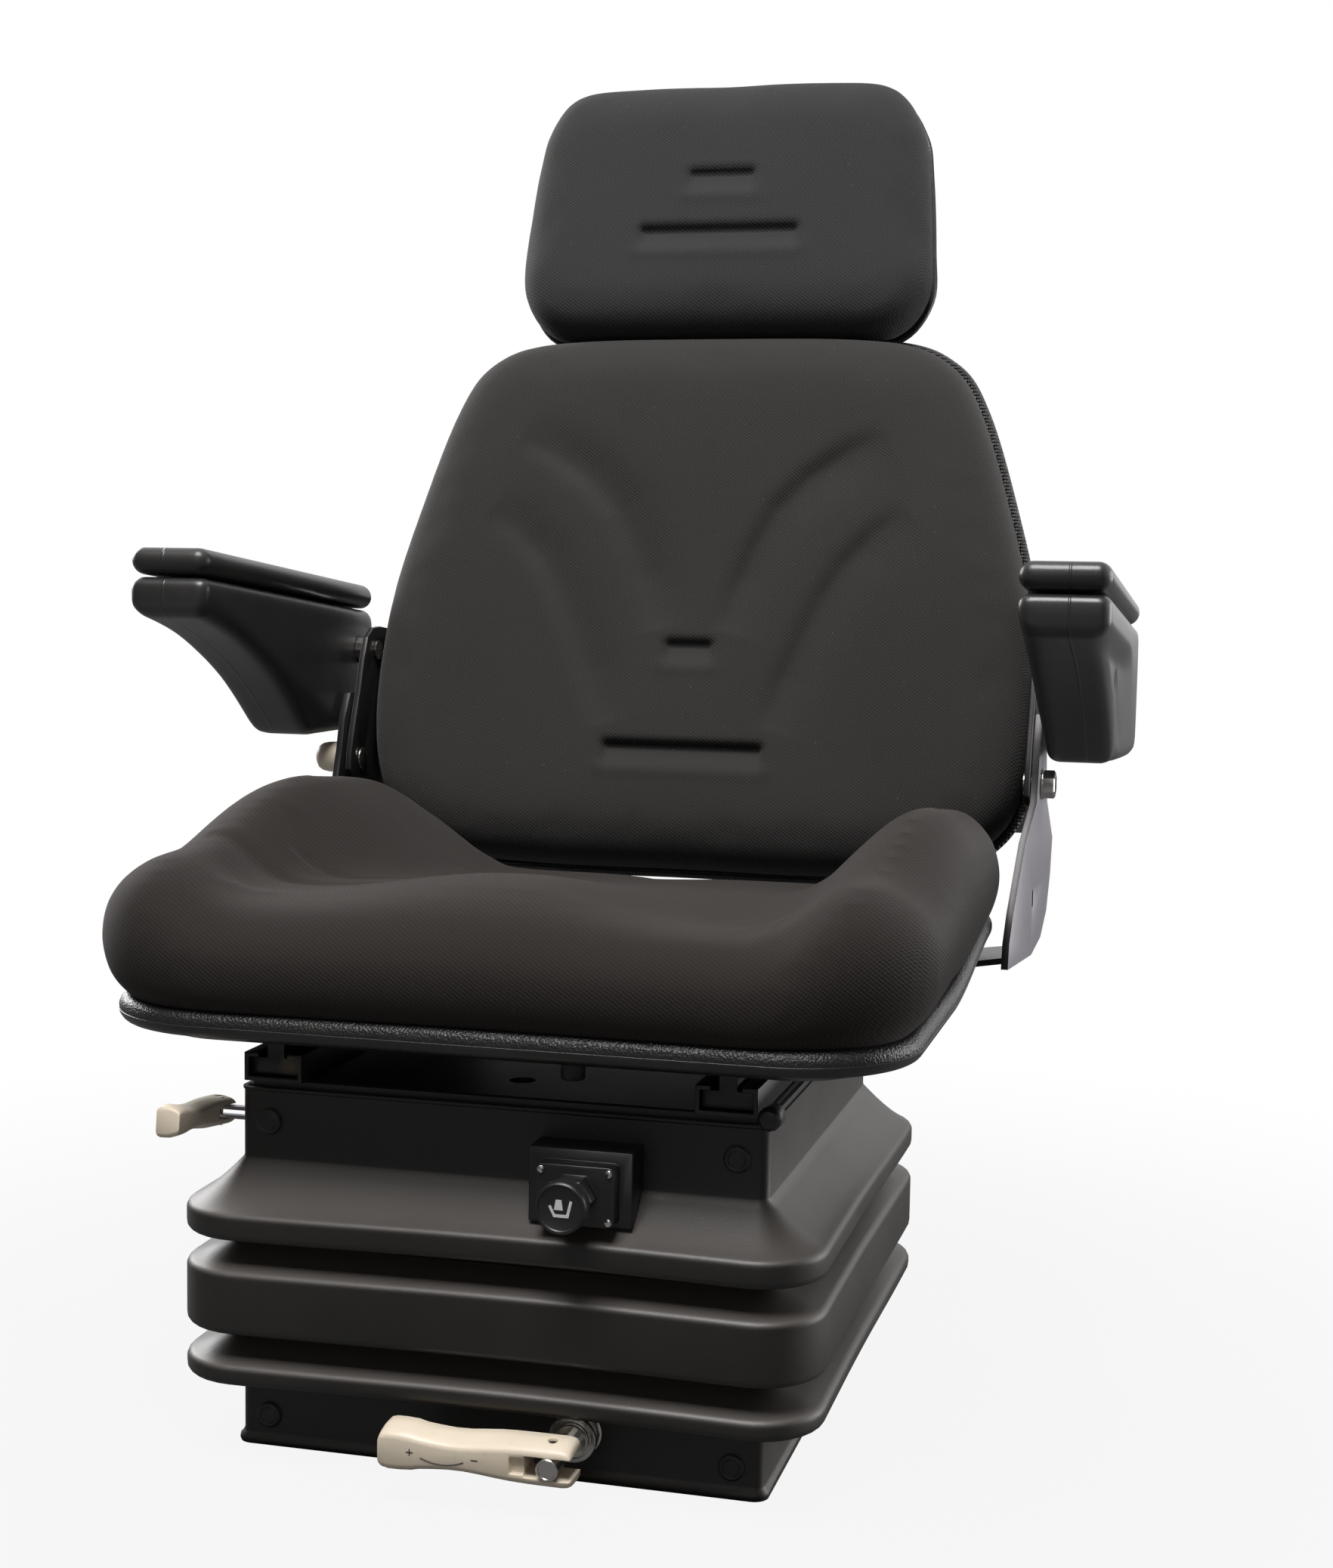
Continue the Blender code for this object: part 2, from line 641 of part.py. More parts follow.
def make_height_knob():
    """Round push-pull knob: a disc with a rolled rim on a stem that slides in the control box."""
    face = KNOB_FACE_Y
    back = face + 0.011
    profile = ((0, face + 0.0012), (KNOB_RADIUS - 0.003, face + 0.0012), (KNOB_RADIUS - 0.002, face),
               (KNOB_RADIUS, face + 0.002), (KNOB_RADIUS, back - 0.001), (KNOB_RADIUS - 0.003, back),
               (0.006, back), (0.006, KNOB_BOX_FRONT + 0.010), (0, KNOB_BOX_FRONT + 0.010))
    return part("height_knob", lathe(profile, "Y", (KNOB_X, 0, KNOB_HEIGHT), 20), "black plastic",
                (KNOB_X, face, KNOB_HEIGHT))


def lower_rail(side, word):
    """C-shaped steel rail, open at the top, that the upper rail slides in."""
    half = RAIL_WIDTH / 2
    low = TOP_SURFACE + FIT
    top = low + RAIL_HEIGHT
    outline = ((-half, low), (half, low), (half, top), (half - SHEET - RAIL_LIP, top),
               (half - SHEET - RAIL_LIP, top - SHEET), (half - SHEET, top - SHEET),
               (half - SHEET, low + SHEET), (SHEET - half, low + SHEET), (SHEET - half, top - SHEET),
               (SHEET + RAIL_LIP - half, top - SHEET), (SHEET + RAIL_LIP - half, top), (-half, top))
    outline = [(side * RAIL_X + a, b) for a, b in outline]
    return part("lower_rail_" + word, prism(outline, "Y", RAIL_FRONT, RAIL_REAR), "black paint")


# Scissor: two pairs of arms, their centre pivots, axles and rollers


def arm(name, x, foot, head, centre_radius):
    """Flat steel arm with eyes at its ends and middle, and two lightening slots."""
    flat = prism(bar(foot, head, ARM_RADIUS, ARM_RADIUS), "X", x, x + math.copysign(ARM_THICKNESS, x))
    piece = part(name, flat, "black paint", (0, foot[0], foot[1]))
    middle = ((foot[0] + head[0]) / 2, (foot[1] + head[1]) / 2)
    for (y, z), radius in ((foot, SHAFT_RADIUS + FIT), (head, SHAFT_RADIUS + FIT),
                           (middle, centre_radius)):
        cut(piece, rod(radius, "X", (x, y, z), -0.02, 0.02))
    for near in (foot, head):
        ends = [tuple(near[k] + (middle[k] - near[k]) * share for k in (0, 1)) for share in (0.3, 0.7)]
        cut(piece, prism(bar(*ends, 0.0045, 0.0045, 4), "X", x - 0.02, x + 0.02))
    return piece


def make_arms():
    rear_low = (PIVOT_Y, LOWER_PIVOT_HEIGHT)
    rear_high = (PIVOT_Y, UPPER_PIVOT_HEIGHT)
    front_low = (AXLE_Y, LOWER_PIVOT_HEIGHT)
    front_high = (AXLE_Y, UPPER_PIVOT_HEIGHT)
    outer, inner = [], []
    for side, word in ((-1, "left"), (1, "right")):
        outer.append(arm("outer_arm_" + word, side * OUTER_ARM_X, rear_low, front_high,
                         SHAFT_RADIUS + FIT))
        inner.append(arm("inner_arm_" + word, side * INNER_ARM_X, rear_high, front_low,
                         SHAFT_RADIUS + PLAY))
        outer.append(centre_pivot(side, word))
    return outer, inner


def centre_pivot(side, word):
    """Headed pin through the outer arm, with a wide washer that keeps the inner arm on it."""
    middle = ((PIVOT_Y + AXLE_Y) / 2, (LOWER_PIVOT_HEIGHT + UPPER_PIVOT_HEIGHT) / 2)
    inner = INNER_ARM_X - FIT
    outer = OUTER_ARM_X + ARM_THICKNESS + FIT
    head = SHAFT_RADIUS + 0.005
    profile = [(0, inner - 0.003), (head, inner - 0.003), (head, inner), (SHAFT_RADIUS, inner),
               (SHAFT_RADIUS, outer), (head, outer), (head, outer + 0.003), (0, outer + 0.003)]
    if side < 0:
        profile = [(radius, -along) for radius, along in profile]
    return part("centre_pivot_" + word, lathe(profile, "X", (0, *middle), 12), "bright steel",
                (0, *middle))


def make_axle(word, height):
    """Plain axle with a nylon roller fixed near each end."""
    place = (0, AXLE_Y, height)
    end = CHANNEL_WEB_X - SHEET - 0.001
    pieces = [part(word + "_axle", rod(SHAFT_RADIUS, "X", place, -end, end, 14), "bright steel", place)]
    outer = CHANNEL_WEB_X - SHEET - 0.003
    for side, hand in ((-1, "left"), (1, "right")):
        ends = sorted((side * outer, side * (outer - ROLLER_WIDTH)))
        bore = SHAFT_RADIUS + FIT
        edge = 0.001
        profile = ((bore, ends[0]), (ROLLER_RADIUS - edge, ends[0]), (ROLLER_RADIUS, ends[0] + edge),
                   (ROLLER_RADIUS, ends[1] - edge), (ROLLER_RADIUS - edge, ends[1]), (bore, ends[1]))
        pieces.append(part(f"{word}_roller_{hand}", lathe(profile, "X", place), "white nylon", place))
    return pieces


# Weight adjuster: spindle, traveller, springs and yoke


def make_spindle():
    """Spindle from the handle to the traveller, with a thrust collar behind the front wall."""
    wall = -COLLAR_HALF_DEPTH + GAITER_WALL + FIT + SHEET + 0.0015 + FIT
    collar = 0.009
    edge = 0.001
    profile = ((0, SPINDLE_FRONT), (SPINDLE_RADIUS - edge, SPINDLE_FRONT),
               (SPINDLE_RADIUS, SPINDLE_FRONT + edge), (SPINDLE_RADIUS, wall), (collar, wall),
               (collar, wall + 0.005), (SPINDLE_RADIUS, wall + 0.005), (SPINDLE_RADIUS, SPINDLE_REAR),
               (0, SPINDLE_REAR))
    place = (SPINDLE_X, 0, SPINDLE_HEIGHT)
    spindle = part("weight_spindle", lathe(profile, "Y", place), "bright steel", place)
    cut(spindle, rod(HANDLE_PIN_RADIUS + FIT, "Z", (SPINDLE_X, HANDLE_Y, SPINDLE_HEIGHT),
                     -0.02, 0.02, 12))
    return spindle


def make_traveller():
    """Threaded cross block that the springs hook into, standing on the base pan."""
    low, high = PLATE + FIT, SPRING_HEIGHT + 0.012
    block = part("spring_traveller",
                 box((SPINDLE_X - TRAVELLER_HALF_WIDTH, TRAVELLER_Y - TRAVELLER_DEPTH / 2, low),
                     (SPINDLE_X + TRAVELLER_HALF_WIDTH, TRAVELLER_Y + TRAVELLER_DEPTH / 2, high)),
                 "black paint", (SPINDLE_X, TRAVELLER_Y, SPINDLE_HEIGHT))
    round_edges(block, 0.0015)
    cut(block, rod(SPINDLE_RADIUS + FIT, "Y", (SPINDLE_X, TRAVELLER_Y, SPINDLE_HEIGHT), -0.02, 0.02))
    for side in (-1, 1):
        place = (SPINDLE_X + side * SPRING_SPREAD, TRAVELLER_Y - TRAVELLER_DEPTH / 2, SPRING_HEIGHT)
        cut(block, rod(SPRING_WIRE / 2 + FIT, "Y", place, -0.01, TRAVELLER_DEPTH + 0.01, 12))
    return block


def make_spring(side, word):
    """Open-wound tension spring with a straight tail at each end, on the spring's own axis."""
    x = SPINDLE_X + side * SPRING_SPREAD
    rear = TRAVELLER_Y - TRAVELLER_DEPTH / 2
    front = YOKE_REAR
    coil = SPRING_TURNS * SPRING_PITCH
    start = (rear + front - coil) / 2
    path = [(x, front - SPRING_HOOK, SPRING_HEIGHT), (x, front, SPRING_HEIGHT),
            (x, start - 0.004, SPRING_HEIGHT)]
    steps = 6
    for k in range(SPRING_TURNS * steps + 1):
        angle = 2 * math.pi * k / steps
        path.append((x + SPRING_RADIUS * math.cos(angle), start + SPRING_PITCH * k / steps,
                     SPRING_HEIGHT + SPRING_RADIUS * math.sin(angle)))
    end = rear + TRAVELLER_DEPTH + FIT
    path += [(x, start + coil + 0.004, SPRING_HEIGHT), (x, rear, SPRING_HEIGHT),
             (x, end + 0.002, SPRING_HEIGHT)]
    spring = part("tension_spring_" + word, tube(path, SPRING_WIRE / 2, 4), "bright steel",
                  (x, TRAVELLER_Y, SPRING_HEIGHT))
    fuse(spring, rod(SPRING_WIRE, "Y", (x, end, SPRING_HEIGHT), 0, 0.004, 10))
    return spring


def make_yoke():
    """Cross block for the springs' front tails, with two hooks that reach over the lower axle."""
    low, high = SPINDLE_HEIGHT + SPINDLE_RADIUS + 0.002, SPRING_HEIGHT + 0.012
    front = YOKE_REAR - YOKE_DEPTH
    block = part("spring_yoke",
                 box((SPINDLE_X - TRAVELLER_HALF_WIDTH, front, low),
                     (SPINDLE_X + TRAVELLER_HALF_WIDTH, YOKE_REAR, high)),
                 "black paint", (SPINDLE_X, YOKE_REAR, SPRING_HEIGHT))
    round_edges(block, 0.001)
    over = LOWER_PIVOT_HEIGHT + SHAFT_RADIUS + 0.0012
    nose = AXLE_Y - SHAFT_RADIUS - 0.0048
    foot = LOWER_PIVOT_HEIGHT - 0.001
    outline = ((front + 0.004, over), (front + 0.004, over + 0.005), (nose - PLATE, over + 0.005),
               (nose - PLATE, foot), (nose, foot), (nose, over))
    for side in (-1, 1):
        x = SPINDLE_X + side * SPRING_SPREAD
        fuse(block, prism(outline, "X", x - YOKE_WIDTH / 2, x + YOKE_WIDTH / 2))
        cut(block, rod(SPRING_WIRE / 2 + FIT, "Y", (x, YOKE_REAR, SPRING_HEIGHT),
                       -SPRING_HOOK - FIT, 0.01, 12))
    return block


# Cream handles: the weight handle and the height lever share one form in two sizes


def bump(value, centre, width):
    return math.exp(-((value - centre) / width) ** 2)


def handle_section(share):
    """Half heights of the handle's rear and front edges; share is 0 at the fork, 1 at the grip."""
    rear = 0.0125 - 0.0024 * bump(share, 0.62, 0.18)
    front = 0.0088 - 0.0028 * bump(share, 0.60, 0.22)
    return rear, front


def make_handle(name, turn, place, size=1.0):
    """Grip with a narrower front face, forked about the spindle and its pin."""
    rings = []
    for share, swell in ((0.0, 0.80), (0.015, 0.96), (0.05, 1.0), (0.34, 1.0), (0.48, 1.0),
                         (0.62, 1.0), (0.74, 1.0), (0.80, 1.0), (0.815, 1.07), (0.93, 1.06),
                         (0.985, 0.97), (1.0, 0.80)):
        rear, front = handle_section(share)
        half = HANDLE_DEPTH / 2
        upper = ((half, rear - 0.0015), (half - 0.0015, rear), (0.0, rear - 0.0004),
                 (0.0015 - half, front + 0.0012), (-half, front - 0.0012))
        x = HANDLE_PIN_SETBACK - share * HANDLE_LENGTH
        ring = [(size * x, size * y, size * swell * z) for y, z in upper]
        rings.append(ring + [(x, y, -z) for x, y, z in reversed(ring)])
    reach = HANDLE_FORK_REACH * size
    gap = HANDLE_FORK_GAP * size / 2
    fork = prism(rounded_rectangle((-reach, -gap), (reach, gap), 0.002, 2), "Y", -0.02, 0.02)
    pin = rod(HANDLE_PIN_RADIUS + FIT, "Z", (0, 0, 0), -0.02, 0.02, 12)
    bodies = [skin(rings), fork, pin]
    for bm in bodies:
        bmesh.ops.rotate(bm, cent=(0, 0, 0), matrix=Matrix.Rotation(turn, 3, "Z"), verts=bm.verts)
        bmesh.ops.translate(bm, vec=place, verts=bm.verts)
    handle = part(name, bodies[0], "cream plastic", place)
    cut(handle, *bodies[1:])
    return handle


def handle_pin(name, place, half):
    return part(name, rod(HANDLE_PIN_RADIUS, "Z", place, -half, half, 12), "bright steel", place)


def make_lever_strap():
    """Folded steel strap: two legs through the collar's side, joined by a web with a stub shaft."""
    web = -CHANNEL_WEB_X - 2 * FIT
    inner = web - SHEET
    gap = 0.0015
    low, high = LEVER_HEIGHT - gap - LEVER_STRAP_THICKNESS, LEVER_HEIGHT + gap + LEVER_STRAP_THICKNESS
    outer = LEVER_X - 0.005
    outline = ((outer, high), (outer, LEVER_HEIGHT + gap), (inner, LEVER_HEIGHT + gap),
               (inner, LEVER_HEIGHT - gap), (outer, LEVER_HEIGHT - gap), (outer, low), (web, low),
               (web, high))
    half = LEVER_STRAP_WIDTH / 2
    strap = part("lever_strap", prism(outline, "Y", LEVER_Y - half, LEVER_Y + half), "grey steel",
                 (LEVER_X, LEVER_Y, LEVER_HEIGHT))
    fuse(strap, rod(LEVER_STUB_RADIUS, "X", (0, LEVER_Y, LEVER_HEIGHT), web - 0.001,
                    SHEET - CHANNEL_WEB_X + 0.001, 14))
    cut(strap, rod(HANDLE_PIN_RADIUS + FIT, "Z", (LEVER_X, LEVER_Y, LEVER_HEIGHT), -0.02, 0.02, 12))
    return strap


# Seat frame: upper rails, pan, cushion and side brackets


def upper_rail(side, word):
    """Rail whose foot slides in the lower rail and whose top flange carries the seat pan."""
    low = TOP_SURFACE + FIT + SHEET + 2 * FIT
    lip = TOP_SURFACE + FIT + RAIL_HEIGHT - SHEET - 2 * FIT
    foot = RAIL_WIDTH / 2 - SHEET - 2 * FIT
    neck = RAIL_NECK / 2
    flange = RAIL_FLANGE
    outline = ((-foot, low), (foot, low), (foot, lip), (neck, lip), (neck, RAIL_TOP - PLATE),
               (flange, RAIL_TOP - PLATE), (flange, RAIL_TOP), (-flange, RAIL_TOP),
               (-flange, RAIL_TOP - PLATE), (-neck, RAIL_TOP - PLATE), (-neck, lip), (-foot, lip))
    outline = [(side * RAIL_X + a, b) for a, b in outline]
    rail = part("upper_rail_" + word,
                prism(outline, "Y", RAIL_FRONT + RAIL_INSET, RAIL_REAR - RAIL_INSET), "black paint")
    if side > 0:
        low, high = SLIDE_PIVOT_Y - 0.008, SLIDE_PIVOT_Y + 0.008
        ear = box((EAR_X, low, SLIDE_LEVER_HEIGHT - 0.006), (EAR_X + PLATE, high, RAIL_TOP))
        bridge = box((RAIL_X + flange - 0.004, low, RAIL_TOP - PLATE), (EAR_X + PLATE, high, RAIL_TOP))
        pin = rod(SLIDE_PIN_RADIUS, "X", (EAR_X, SLIDE_PIVOT_Y, SLIDE_LEVER_HEIGHT), PLATE - 0.001,
                  PLATE + SLIDE_EYE_WIDTH + 0.002, 12)
        fuse(rail, bridge, ear, pin)
    return rail


def make_slide_lever():
    """Round rod along the rail with a ball-ended cap at the front and an eye on the rail's pin."""
    eye_low = EAR_X + PLATE + FIT
    place = (0, SLIDE_PIVOT_Y, SLIDE_LEVER_HEIGHT)
    eye = rod(0.006, "X", place, eye_low, eye_low + SLIDE_EYE_WIDTH, 16)
    lever = part("slide_lever", eye, "black paint", (SLIDE_LEVER_X, SLIDE_PIVOT_Y, SLIDE_LEVER_HEIGHT))
    middle = eye_low + SLIDE_EYE_WIDTH / 2
    path = [(SLIDE_LEVER_X, SLIDE_LEVER_FRONT + 0.004, SLIDE_LEVER_HEIGHT),
            (SLIDE_LEVER_X, SLIDE_PIVOT_Y - 0.040, SLIDE_LEVER_HEIGHT),
            (middle, SLIDE_PIVOT_Y - 0.020, SLIDE_LEVER_HEIGHT),
            (middle, SLIDE_PIVOT_Y - 0.0045, SLIDE_LEVER_HEIGHT)]
    cap = 0.0065
    profile = ((0, -0.006), (cap - 0.002, -0.0055), (cap, -0.003), (cap, 0.008), (cap - 0.002, 0.012),
               (0, 0.012))
    fuse(lever, tube(path, SLIDE_LEVER_RADIUS, 6),
         lathe(profile, "Y", (SLIDE_LEVER_X, SLIDE_LEVER_FRONT, SLIDE_LEVER_HEIGHT), 12))
    cut(lever, rod(SLIDE_PIN_RADIUS + FIT, "X", place, eye_low - 0.01, eye_low + 0.02, 12))
    return lever


def ease(value, start, end):
    """0 before start, 1 after end, smooth between them."""
    t = min(max((value - start) / (end - start), 0.0), 1.0)
    return t * t * (3 - 2 * t)


def side_rise(x, y):
    """How far the pan's rim climbs at its rear sides."""
    return RIM_SIDE_RISE * ease(y, 0.0, PAN_REAR - 0.05) * ease(abs(x), 0.10, PAN_HALF_WIDTH - 0.02)


def with_steps(outline, longest):
    """The closed outline with its long straight sides divided."""
    points = []
    for start, end in zip(outline, outline[1:] + outline[:1]):
        pieces = max(1, math.ceil(math.dist(start, end) / longest))
        for k in range(pieces):
            points.append(tuple(a + (b - a) * k / pieces for a, b in zip(start, end)))
    return points


def pan_outline(reach=0.0):
    low = (-PAN_HALF_WIDTH, PAN_FRONT)
    outline = with_steps(rounded_rectangle(low, (PAN_HALF_WIDTH, PAN_REAR), PAN_CORNER, 4), 0.055)
    return inset(outline, -reach)


def pan_ring(reach, height, rising):
    return [(x, y, height + rising * side_rise(x, y)) for x, y in pan_outline(reach)]


def make_pan():
    """Shallow moulded pan with a rolled rim."""
    rings = [pan_ring(-0.055, PAN_UNDERSIDE, 0), pan_ring(-PAN_DISH, PAN_UNDERSIDE, 0),
             pan_ring(-0.018, RIM_HEIGHT - RIM_RADIUS * 0.9, 0.9)]
    for degrees in (-90, -35, 20, 75, 130, 175):
        angle = math.radians(degrees)
        rings.append(pan_ring(-RIM_RADIUS + RIM_RADIUS * math.cos(angle),
                              RIM_HEIGHT + RIM_RADIUS * math.sin(angle), 1))
    rings += [pan_ring(-0.0175, RIM_HEIGHT - 0.002, 1), pan_ring(-PAN_DISH - 0.002, FLOOR_TOP, 0),
              pan_ring(-0.055, FLOOR_TOP, 0)]
    return part("seat_pan", skin(rings), "pan vinyl")


def cushion_top(x, y):
    """Height of the cushion's crown: side bolsters, a front roll, and a valley that falls rearwards."""
    bolster = CUSHION_BOLSTER * ease(abs(x), 0.09, 0.200) * ease(y, PAN_FRONT, 0.03)
    roll = 0.014 * math.exp(-((y - PAN_FRONT - 0.07) / 0.06) ** 2)
    rear = CUSHION_REAR_DROP * ease(y, 0.05, PAN_REAR - CUSHION_REAR_GAP)
    valley = CUSHION_VALLEY * ease(y, -0.02, 0.12) * (1 - ease(abs(x), 0.0, 0.10))
    return CUSHION_TOP + bolster + roll - rear - valley


def cushion_ring(scale, share, reach=0.0):
    """One ring of the cushion: share 0 is the pan's rim and 1 the crown."""
    middle = 0.0
    low = RIM_HEIGHT + 0.006
    ring = []
    for x, y in pan_outline(reach):
        y = min(y, PAN_REAR - CUSHION_REAR_GAP + reach)
        x, y = x * scale, middle + (y - middle) * scale
        bottom = low + side_rise(x, y)
        ring.append((x, y, bottom + (cushion_top(x, y) - bottom) * share))
    return ring


def make_cushion():
    """Foam cushion that drops into the pan and bulges past its rim."""
    neck = -0.0195
    rings = []
    for reach, height, rising in ((-0.036, FLOOR_TOP + FIT, 0), (neck - 0.0015, RIM_HEIGHT - 0.0022, 1)):
        ring = [(x, min(y, PAN_REAR - CUSHION_REAR_GAP), z) for x, y, z in pan_ring(reach, height, rising)]
        rings.append(ring)
    rings += [cushion_ring(1.0, 0.10, neck), cushion_ring(1.0, 0.24, 0.002),
              cushion_ring(1.0, 0.45, CUSHION_OVERHANG), cushion_ring(1.0, 0.70, 0.004),
              cushion_ring(0.965, 0.90, 0), cushion_ring(0.90, 1.0, 0), cushion_ring(0.70, 1.0, 0),
              cushion_ring(0.42, 1.0, 0)]
    return part("seat_cushion", skin(rings), "fabric")


# Front and rear edge of the bracket's cheek as (y, z) pairs, from its top down to its foot
BRACKET_EDGES = (((0.238, 0.400), (0.262, 0.401)), ((0.228, 0.382), (0.273, 0.384)),
                 ((0.223, 0.362), (0.279, 0.360)), ((0.216, 0.343), (0.284, 0.338)),
                 ((0.200, 0.318), (0.286, 0.313)), ((0.184, 0.296), (0.282, 0.288)),
                 ((0.169, 0.275), (0.273, 0.264)), ((0.160, 0.257), (0.256, 0.248)),
                 ((0.158, 0.241), (0.228, 0.240)))


def bracket_x(y, z):
    """The cheek is flat about the pivot, and splayed towards its rear below it."""
    return BRACKET_X + BRACKET_SPLAY * (y - RECLINE_Y) * (1 - ease(z, 0.318, 0.343))


def side_bracket(side, word):
    """Pressed steel cheek from under the pan up to the recline pivot."""
    pivot = (RECLINE_Y, RECLINE_HEIGHT)
    rings = []
    for front, rear in BRACKET_EDGES:
        middle = tuple((a + b) / 2 for a, b in zip(front, rear))
        line = [front, middle, rear]
        inner = [(side * bracket_x(y, z), y, z) for y, z in line]
        outer = [(side * (bracket_x(y, z) + BRACKET_THICKNESS), y, z) for y, z in reversed(line)]
        rings.append(inner + outer)
    bracket = part("side_bracket_" + word, skin(rings), "grey steel", (side * BRACKET_X, *pivot))
    top = PAN_UNDERSIDE - FIT
    feet = []
    for y in (0.164, 0.222):
        end = bracket_x(y, 0.24) + BRACKET_THICKNESS / 2
        line = ((0.152, top), (0.202, top), (0.214, 0.2440), (end, 0.2480), (end, 0.2440),
                (0.216, 0.2405), (0.203, top - PLATE), (0.152, top - PLATE))
        feet.append([(side * x, y, z) for x, z in line])
    fuse(bracket, skin(feet))
    slot = rounded_rectangle((0.2255, 0.272), (0.2285, 0.284), 0.0014, 2)
    cut(bracket, rod(RECLINE_BOLT_RADIUS + FIT, "X", (side * BRACKET_X, *pivot), -0.02, 0.02),
        prism(slot, "X", *sorted((side * 0.22, side * 0.27))))
    return bracket


# Backrest: shell, cushion, plates, pivot bolts and crossbar


def back_point(x, height, depth):
    """A point of the leaning backrest: height up its face and depth behind it."""
    return (x, BACK_FOOT_Y + height * math.sin(LEAN) + depth * math.cos(LEAN),
            BACK_FOOT_HEIGHT + height * math.cos(LEAN) - depth * math.sin(LEAN))


BACK_HALF_OUTLINE = ((0.0, 0.0), (0.100, 0.0), (0.172, 0.006), (0.214, 0.030), (0.230, 0.066),
                     (0.236, 0.120), (0.231, 0.192), (0.214, 0.262), (0.190, 0.332),
                     (0.166, 0.366), (0.120, 0.381), (0.0, 0.384))
HEADREST_HALF_OUTLINE = ((0.0, 0.0), (0.090, 0.0), (0.130, 0.006), (0.150, 0.034), (0.1495, 0.072),
                         (0.145, HEADREST_TALL - 0.065), (0.139, HEADREST_TALL - 0.033),
                         (0.118, HEADREST_TALL - 0.006), (0.070, HEADREST_TALL - 0.0005),
                         (0.0, HEADREST_TALL))


def full_outline(half, steps=2):
    """A left and right outline from its right half, listed from the bottom centre up."""
    right = list(half)
    left = [(-x, height) for x, height in reversed(half[1:-1])]
    return [tuple(point) for point in smooth_loop(right + left, steps)]


def back_rings(outline, stations):
    """Rings of an upright pad: each station is (depth, inset)."""
    return [[back_point(x, height, depth) for x, height in inset(outline, gap)]
            for depth, gap in stations]


def make_back_shell():
    """Thin moulded shell that wraps the rear edge of the backrest cushion."""
    outline = full_outline(BACK_HALF_OUTLINE)
    outside = ((BACK_RIM_DEPTH, 0.0), (0.062, 0.0), (0.076, 0.010), (BACK_DEPTH, 0.030))
    inside = ((BACK_DEPTH - BACK_WALL, 0.032), (0.0725, 0.010 + BACK_WALL), (BACK_RIM_DEPTH, BACK_WALL))
    shell = part("back_shell", skin(back_rings(outline, outside[::-1] + inside[::-1])),
                 "black plastic", RECLINE_AXIS)
    for side in (-1, 1):
        cut(shell, post_bore(side))
    return shell


def make_back_cushion():
    outline = full_outline(BACK_HALF_OUTLINE)
    gap = BACK_WALL + FIT
    stations = ((BACK_DEPTH - gap, 0.033), (0.0718, 0.010 + gap), (BACK_RIM_DEPTH, gap),
                (BACK_RIM_DEPTH - 0.0015, 0.0), (0.024, -0.001), (0.010, 0.005), (0.002, 0.018),
                (0.0, 0.036))
    cushion = part("back_cushion", skin(back_rings(outline, stations)), "fabric", RECLINE_AXIS)
    for side in (-1, 1):
        cut(cushion, post_bore(side))
    return cushion


def post_bore(side, gap=0.0008):
    """The channel a headrest post slides in, from its foot to above the shell."""
    return tube((back_point(side * POST_X, POST_FOOT - 0.075, POST_DEPTH),
                 back_point(side * POST_X, HEADREST_FOOT + 0.03, POST_DEPTH)), POST_RADIUS + gap, 8)


def back_plate(side, word):
    """Folded plate: cheek with the recline eye and the armrest's eye, and a flange on the shell."""
    low, high = BACK_PLATE_X, BACK_PLATE_X + BACK_PLATE_THICKNESS
    cheek = smooth_loop(((-0.012, 0.060), (0.004, 0.053), (0.040, 0.056), (0.075, 0.062), (0.089, 0.080),
                         (0.089, 0.130), (0.086, 0.168), (0.060, 0.172), (0.022, 0.170),
                         (0.000, 0.158), (-0.006, 0.120), (-0.012, 0.084)), 2)
    rings = [[back_point(side * x, height, depth) for depth, height in cheek] for x in (low, high)]
    plate = part("back_plate_" + word, skin(rings), "grey steel", RECLINE_AXIS)
    back = BACK_DEPTH + FIT
    flange = [[back_point(side * x, height, depth) for x, depth in
               ((high - 0.001, back), (high - 0.001, back + 0.004), (0.175, back + 0.004), (0.175, back))]
              for height in (0.080, 0.155)]
    fuse(plate, skin(flange))
    cut(plate, rod(RECLINE_BOLT_RADIUS + FIT, "X", (0, RECLINE_Y, RECLINE_HEIGHT),
                   *sorted((side * 0.22, side * 0.26))),
        rod(ARM_PIN_RADIUS + FIT, "X", (0, *ARM_AXIS[1:]), *sorted((side * 0.22, side * 0.26))))
    return plate


RECLINE_AXIS = (0, RECLINE_Y, RECLINE_HEIGHT)
ARM_AXIS = back_point(0, ARM_PIN_HEIGHT, ARM_PIN_DEPTH)


def hex_bolt(side, word):
    """Recline pivot: shank through cheek and plate, hexagon head outside, round nut inside."""
    inner = BACK_PLATE_X - FIT
    outer = BRACKET_X + BRACKET_THICKNESS + FIT
    shank = RECLINE_BOLT_RADIUS
    profile = [(0, inner - 0.0015), (shank + 0.002, inner - 0.0015), (shank + 0.002, inner),
               (shank, inner), (shank, outer), (0.0105, outer), (0.0105, outer + 0.0015),
               (shank, outer + 0.0015), (shank, outer + 0.002), (0, outer + 0.002)]
    if side < 0:
        profile = [(radius, -along) for radius, along in profile]
    bolt = part("pivot_bolt_" + word, lathe(profile, "X", RECLINE_AXIS), "bright steel", RECLINE_AXIS)
    if side > 0:
        fuse(bolt, lathe(((0, outer + 0.001), (0.0095, outer + 0.001), (0.0095, outer + 0.008),
                          (0.0080, outer + 0.009), (0, outer + 0.009)), "X", RECLINE_AXIS, 6))
    return bolt


